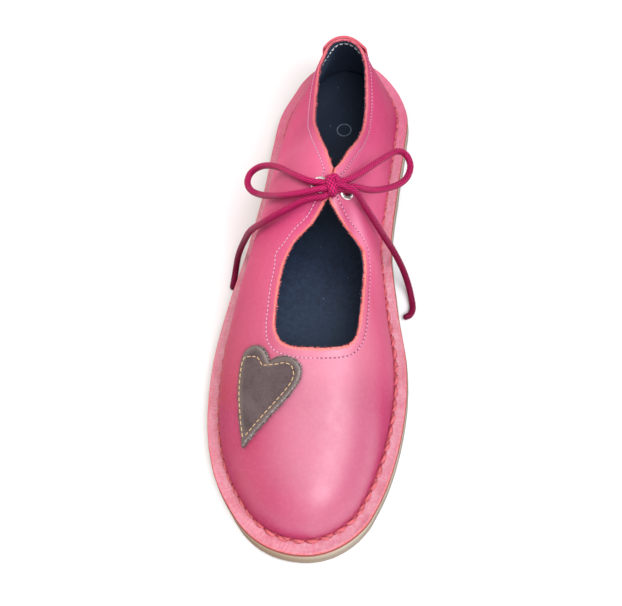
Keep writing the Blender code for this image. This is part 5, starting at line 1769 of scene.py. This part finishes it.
def make_insole():
    """A dark footbed, dished a little under the heel and raised towards its edge."""
    n, m = 220, 56
    plan, inside = plan_ladder(n, m, lambda s: sole_column("flange", s) + WALL + 0.3)
    y = plan[..., 1]
    low = sole_top(y) + GAP
    s = station_of(y)
    dish = 0.9 * bell(s - 0.14, 0.10) * step_up(inside, 4.0, 18.0) + 0.5 * bell(s - 0.70, 0.12) * step_up(inside, 6.0, 26.0)
    edge = 0.5 * (1 - step_up(inside, 0.0, 1.2))
    top = np.concatenate([plan, (low + INSOLE - dish - edge)[..., None]], -1)
    bottom = np.concatenate([plan, low[..., None]], -1)
    cols = m + 1
    at = lambda k, i, j: k * (n + 1) * cols + i * cols + j
    faces = [grid_faces(n + 1, cols), grid_faces(n + 1, cols, first=(n + 1) * cols)[:, ::-1]]
    i = np.arange(n)
    for j, flip in ((0, True), (m, False)):
        f = np.stack([at(0, i, j), at(0, i + 1, j), at(1, i + 1, j), at(1, i, j)], -1)
        faces.append(f[:, ::-1] if flip else f)
    obj = mesh_object("insole_footbed", np.concatenate([top.reshape(-1, 3), bottom.reshape(-1, 3)]), faces, INSOLE_SKIN, None, 0.9)
    clean(obj)
    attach(obj, "root")
    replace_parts(obj, "insole")


make_insole()


def make_sole():
    """A thick cream sole with a sanded edge and a pebbled underside."""
    n = 300
    s = (1 - np.cos(np.linspace(0, np.pi, n + 1))) / 2
    edge = np.concatenate([outline("medial", s), outline("lateral", s)[-2:0:-1]])
    out = np.concatenate([outward("medial", s), outward("lateral", s)[-2:0:-1]])
    high, low = sole_top(edge[:, 1]), sole_bottom(edge[:, 1])
    count = len(edge)
    rng = np.random.default_rng(9)
    profile = [(-2.2, 0.0, 0.0), (-0.3, 0.0, 0.0), (SOLE_FLARE_TOP - 0.25, 0.0, 0.0), (SOLE_FLARE_TOP - 0.05, 0.0, 0.12), (SOLE_FLARE_TOP, 0.0, 0.35)]
    profile += [(None, t, 0.0) for t in np.linspace(0.08, 0.80, 12)]
    profile += [(SOLE_FLARE_LOW, 0.86, 0.0), (SOLE_FLARE_LOW - 0.06, 0.92, 0.0), (SOLE_FLARE_LOW - 0.28, 0.972, 0.0), (SOLE_FLARE_LOW - 0.75, 1.0, 0.0)]
    rows, drop = [], []
    toe = 1.2 * step_up(-edge[:, 1], 120.0, 142.0)
    for flare, share, fall in profile:
        if flare is None:
            flare = SOLE_FLARE_TOP + (SOLE_FLARE_LOW - SOLE_FLARE_TOP) * share - 0.18 * math.sin(math.pi * share)
        rough = rng.normal(0, 0.035, count)
        rough = 0.5 * rough + 0.25 * np.roll(rough, 1) + 0.25 * np.roll(rough, -1)
        z = high + (low - high) * share - fall
        rows.append(np.column_stack([edge + out * (flare + toe * min(share * 1.4, 1.0) + rough)[:, None], z]))
        drop.append(high - z)
    side = np.stack(rows, 1)
    nv = side.shape[1]
    points, faces = [side.reshape(-1, 3)], [grid_faces(count, nv, True, False)]
    drops = [np.stack(drop, 1).ravel()]
    under = [np.zeros(count * nv)]
    first = count * nv
    m = 64
    for inset, level, at_row, is_under in ((2.2, sole_top, 0, 0.0), (0.75 - SOLE_FLARE_LOW, sole_bottom, nv - 1, 1.0)):
        cols = (m if is_under else 12) + 1
        t = np.linspace(0, 1, cols)
        med = side[: n + 1, at_row]
        lat = np.concatenate([side[:1, at_row], side[: n : -1, at_row], side[n : n + 1, at_row]])
        grid = lat[:, None] + (med - lat)[:, None] * t[None, :, None]
        if is_under:
            pebble = rng.uniform(0, 0.22, grid.shape[:2])
            pebble[:, [0, -1]] = 0
            pebble[[0, -1]] = 0
            grid[..., 2] = sole_bottom(grid[..., 1]) + pebble
        points.append(grid.reshape(-1, 3))
        f = grid_faces(n + 1, cols, first=first)
        faces.append(f if not is_under else f[:, ::-1])
        drops.append(np.full((n + 1) * cols, 5.0))
        under.append(np.full((n + 1) * cols, is_under))
        first += (n + 1) * cols
    obj = mesh_object("sole_cream", np.concatenate(points), faces, SOLE_SKIN, {"drop": np.concatenate(drops), "under": np.concatenate(under)})
    clean(obj)
    obj.data.set_sharp_from_angle(angle=0.9)
    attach(obj, "root")
    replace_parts(obj, "outsole")


make_sole()


# ================================================================ floor and light
def area_light(name, place, look_at, size, power, colour):
    data = bpy.data.lights.new(name, "AREA")
    data.shape, data.size, data.size_y = "RECTANGLE", size[0], size[1]
    data.energy, data.color = power, colour
    obj = bpy.data.objects.new(name, data)
    bpy.context.scene.collection.objects.link(obj)
    obj.location = place
    obj.rotation_euler = (Vector(look_at) - Vector(place)).to_track_quat("-Z", "Y").to_euler()


def make_stage():
    mesh = bpy.data.meshes.new("floor")
    bm = bmesh.new()
    bmesh.ops.create_grid(bm, x_segments=8, y_segments=8, size=3.0)
    bm.to_mesh(mesh)
    bm.free()
    mesh.materials.append(floor_surface())
    floor = bpy.data.objects.new("floor", mesh)
    bpy.context.scene.collection.objects.link(floor)
    floor.location = (0, 0, -0.0002)
    world = bpy.data.worlds.new("studio")
    world.use_nodes = True
    back = world.node_tree.nodes["Background"]
    back.inputs["Color"].default_value = (1.0, 0.99, 0.985, 1.0)
    back.inputs["Strength"].default_value = 0.42
    bpy.context.scene.world = world
    area_light("key", (0.42, -0.42, 1.12), (0.01, -0.06, 0.03), (0.86, 0.92), 18.8, (0.95, 0.955, 1.0))
    area_light("fill", (-0.85, 0.55, 0.85), (0.0, 0.02, 0.03), (0.9, 0.9), 8.5, (1.0, 0.86, 0.79))
    area_light("window", (0.05, -1.30, 0.72), (0.0, -0.05, 0.03), (1.5, 0.8), 6.0, (1.0, 0.97, 0.95))


make_stage()
scene = bpy.context.scene
scene.view_settings.view_transform = "Standard"
scene.view_settings.look = "None"
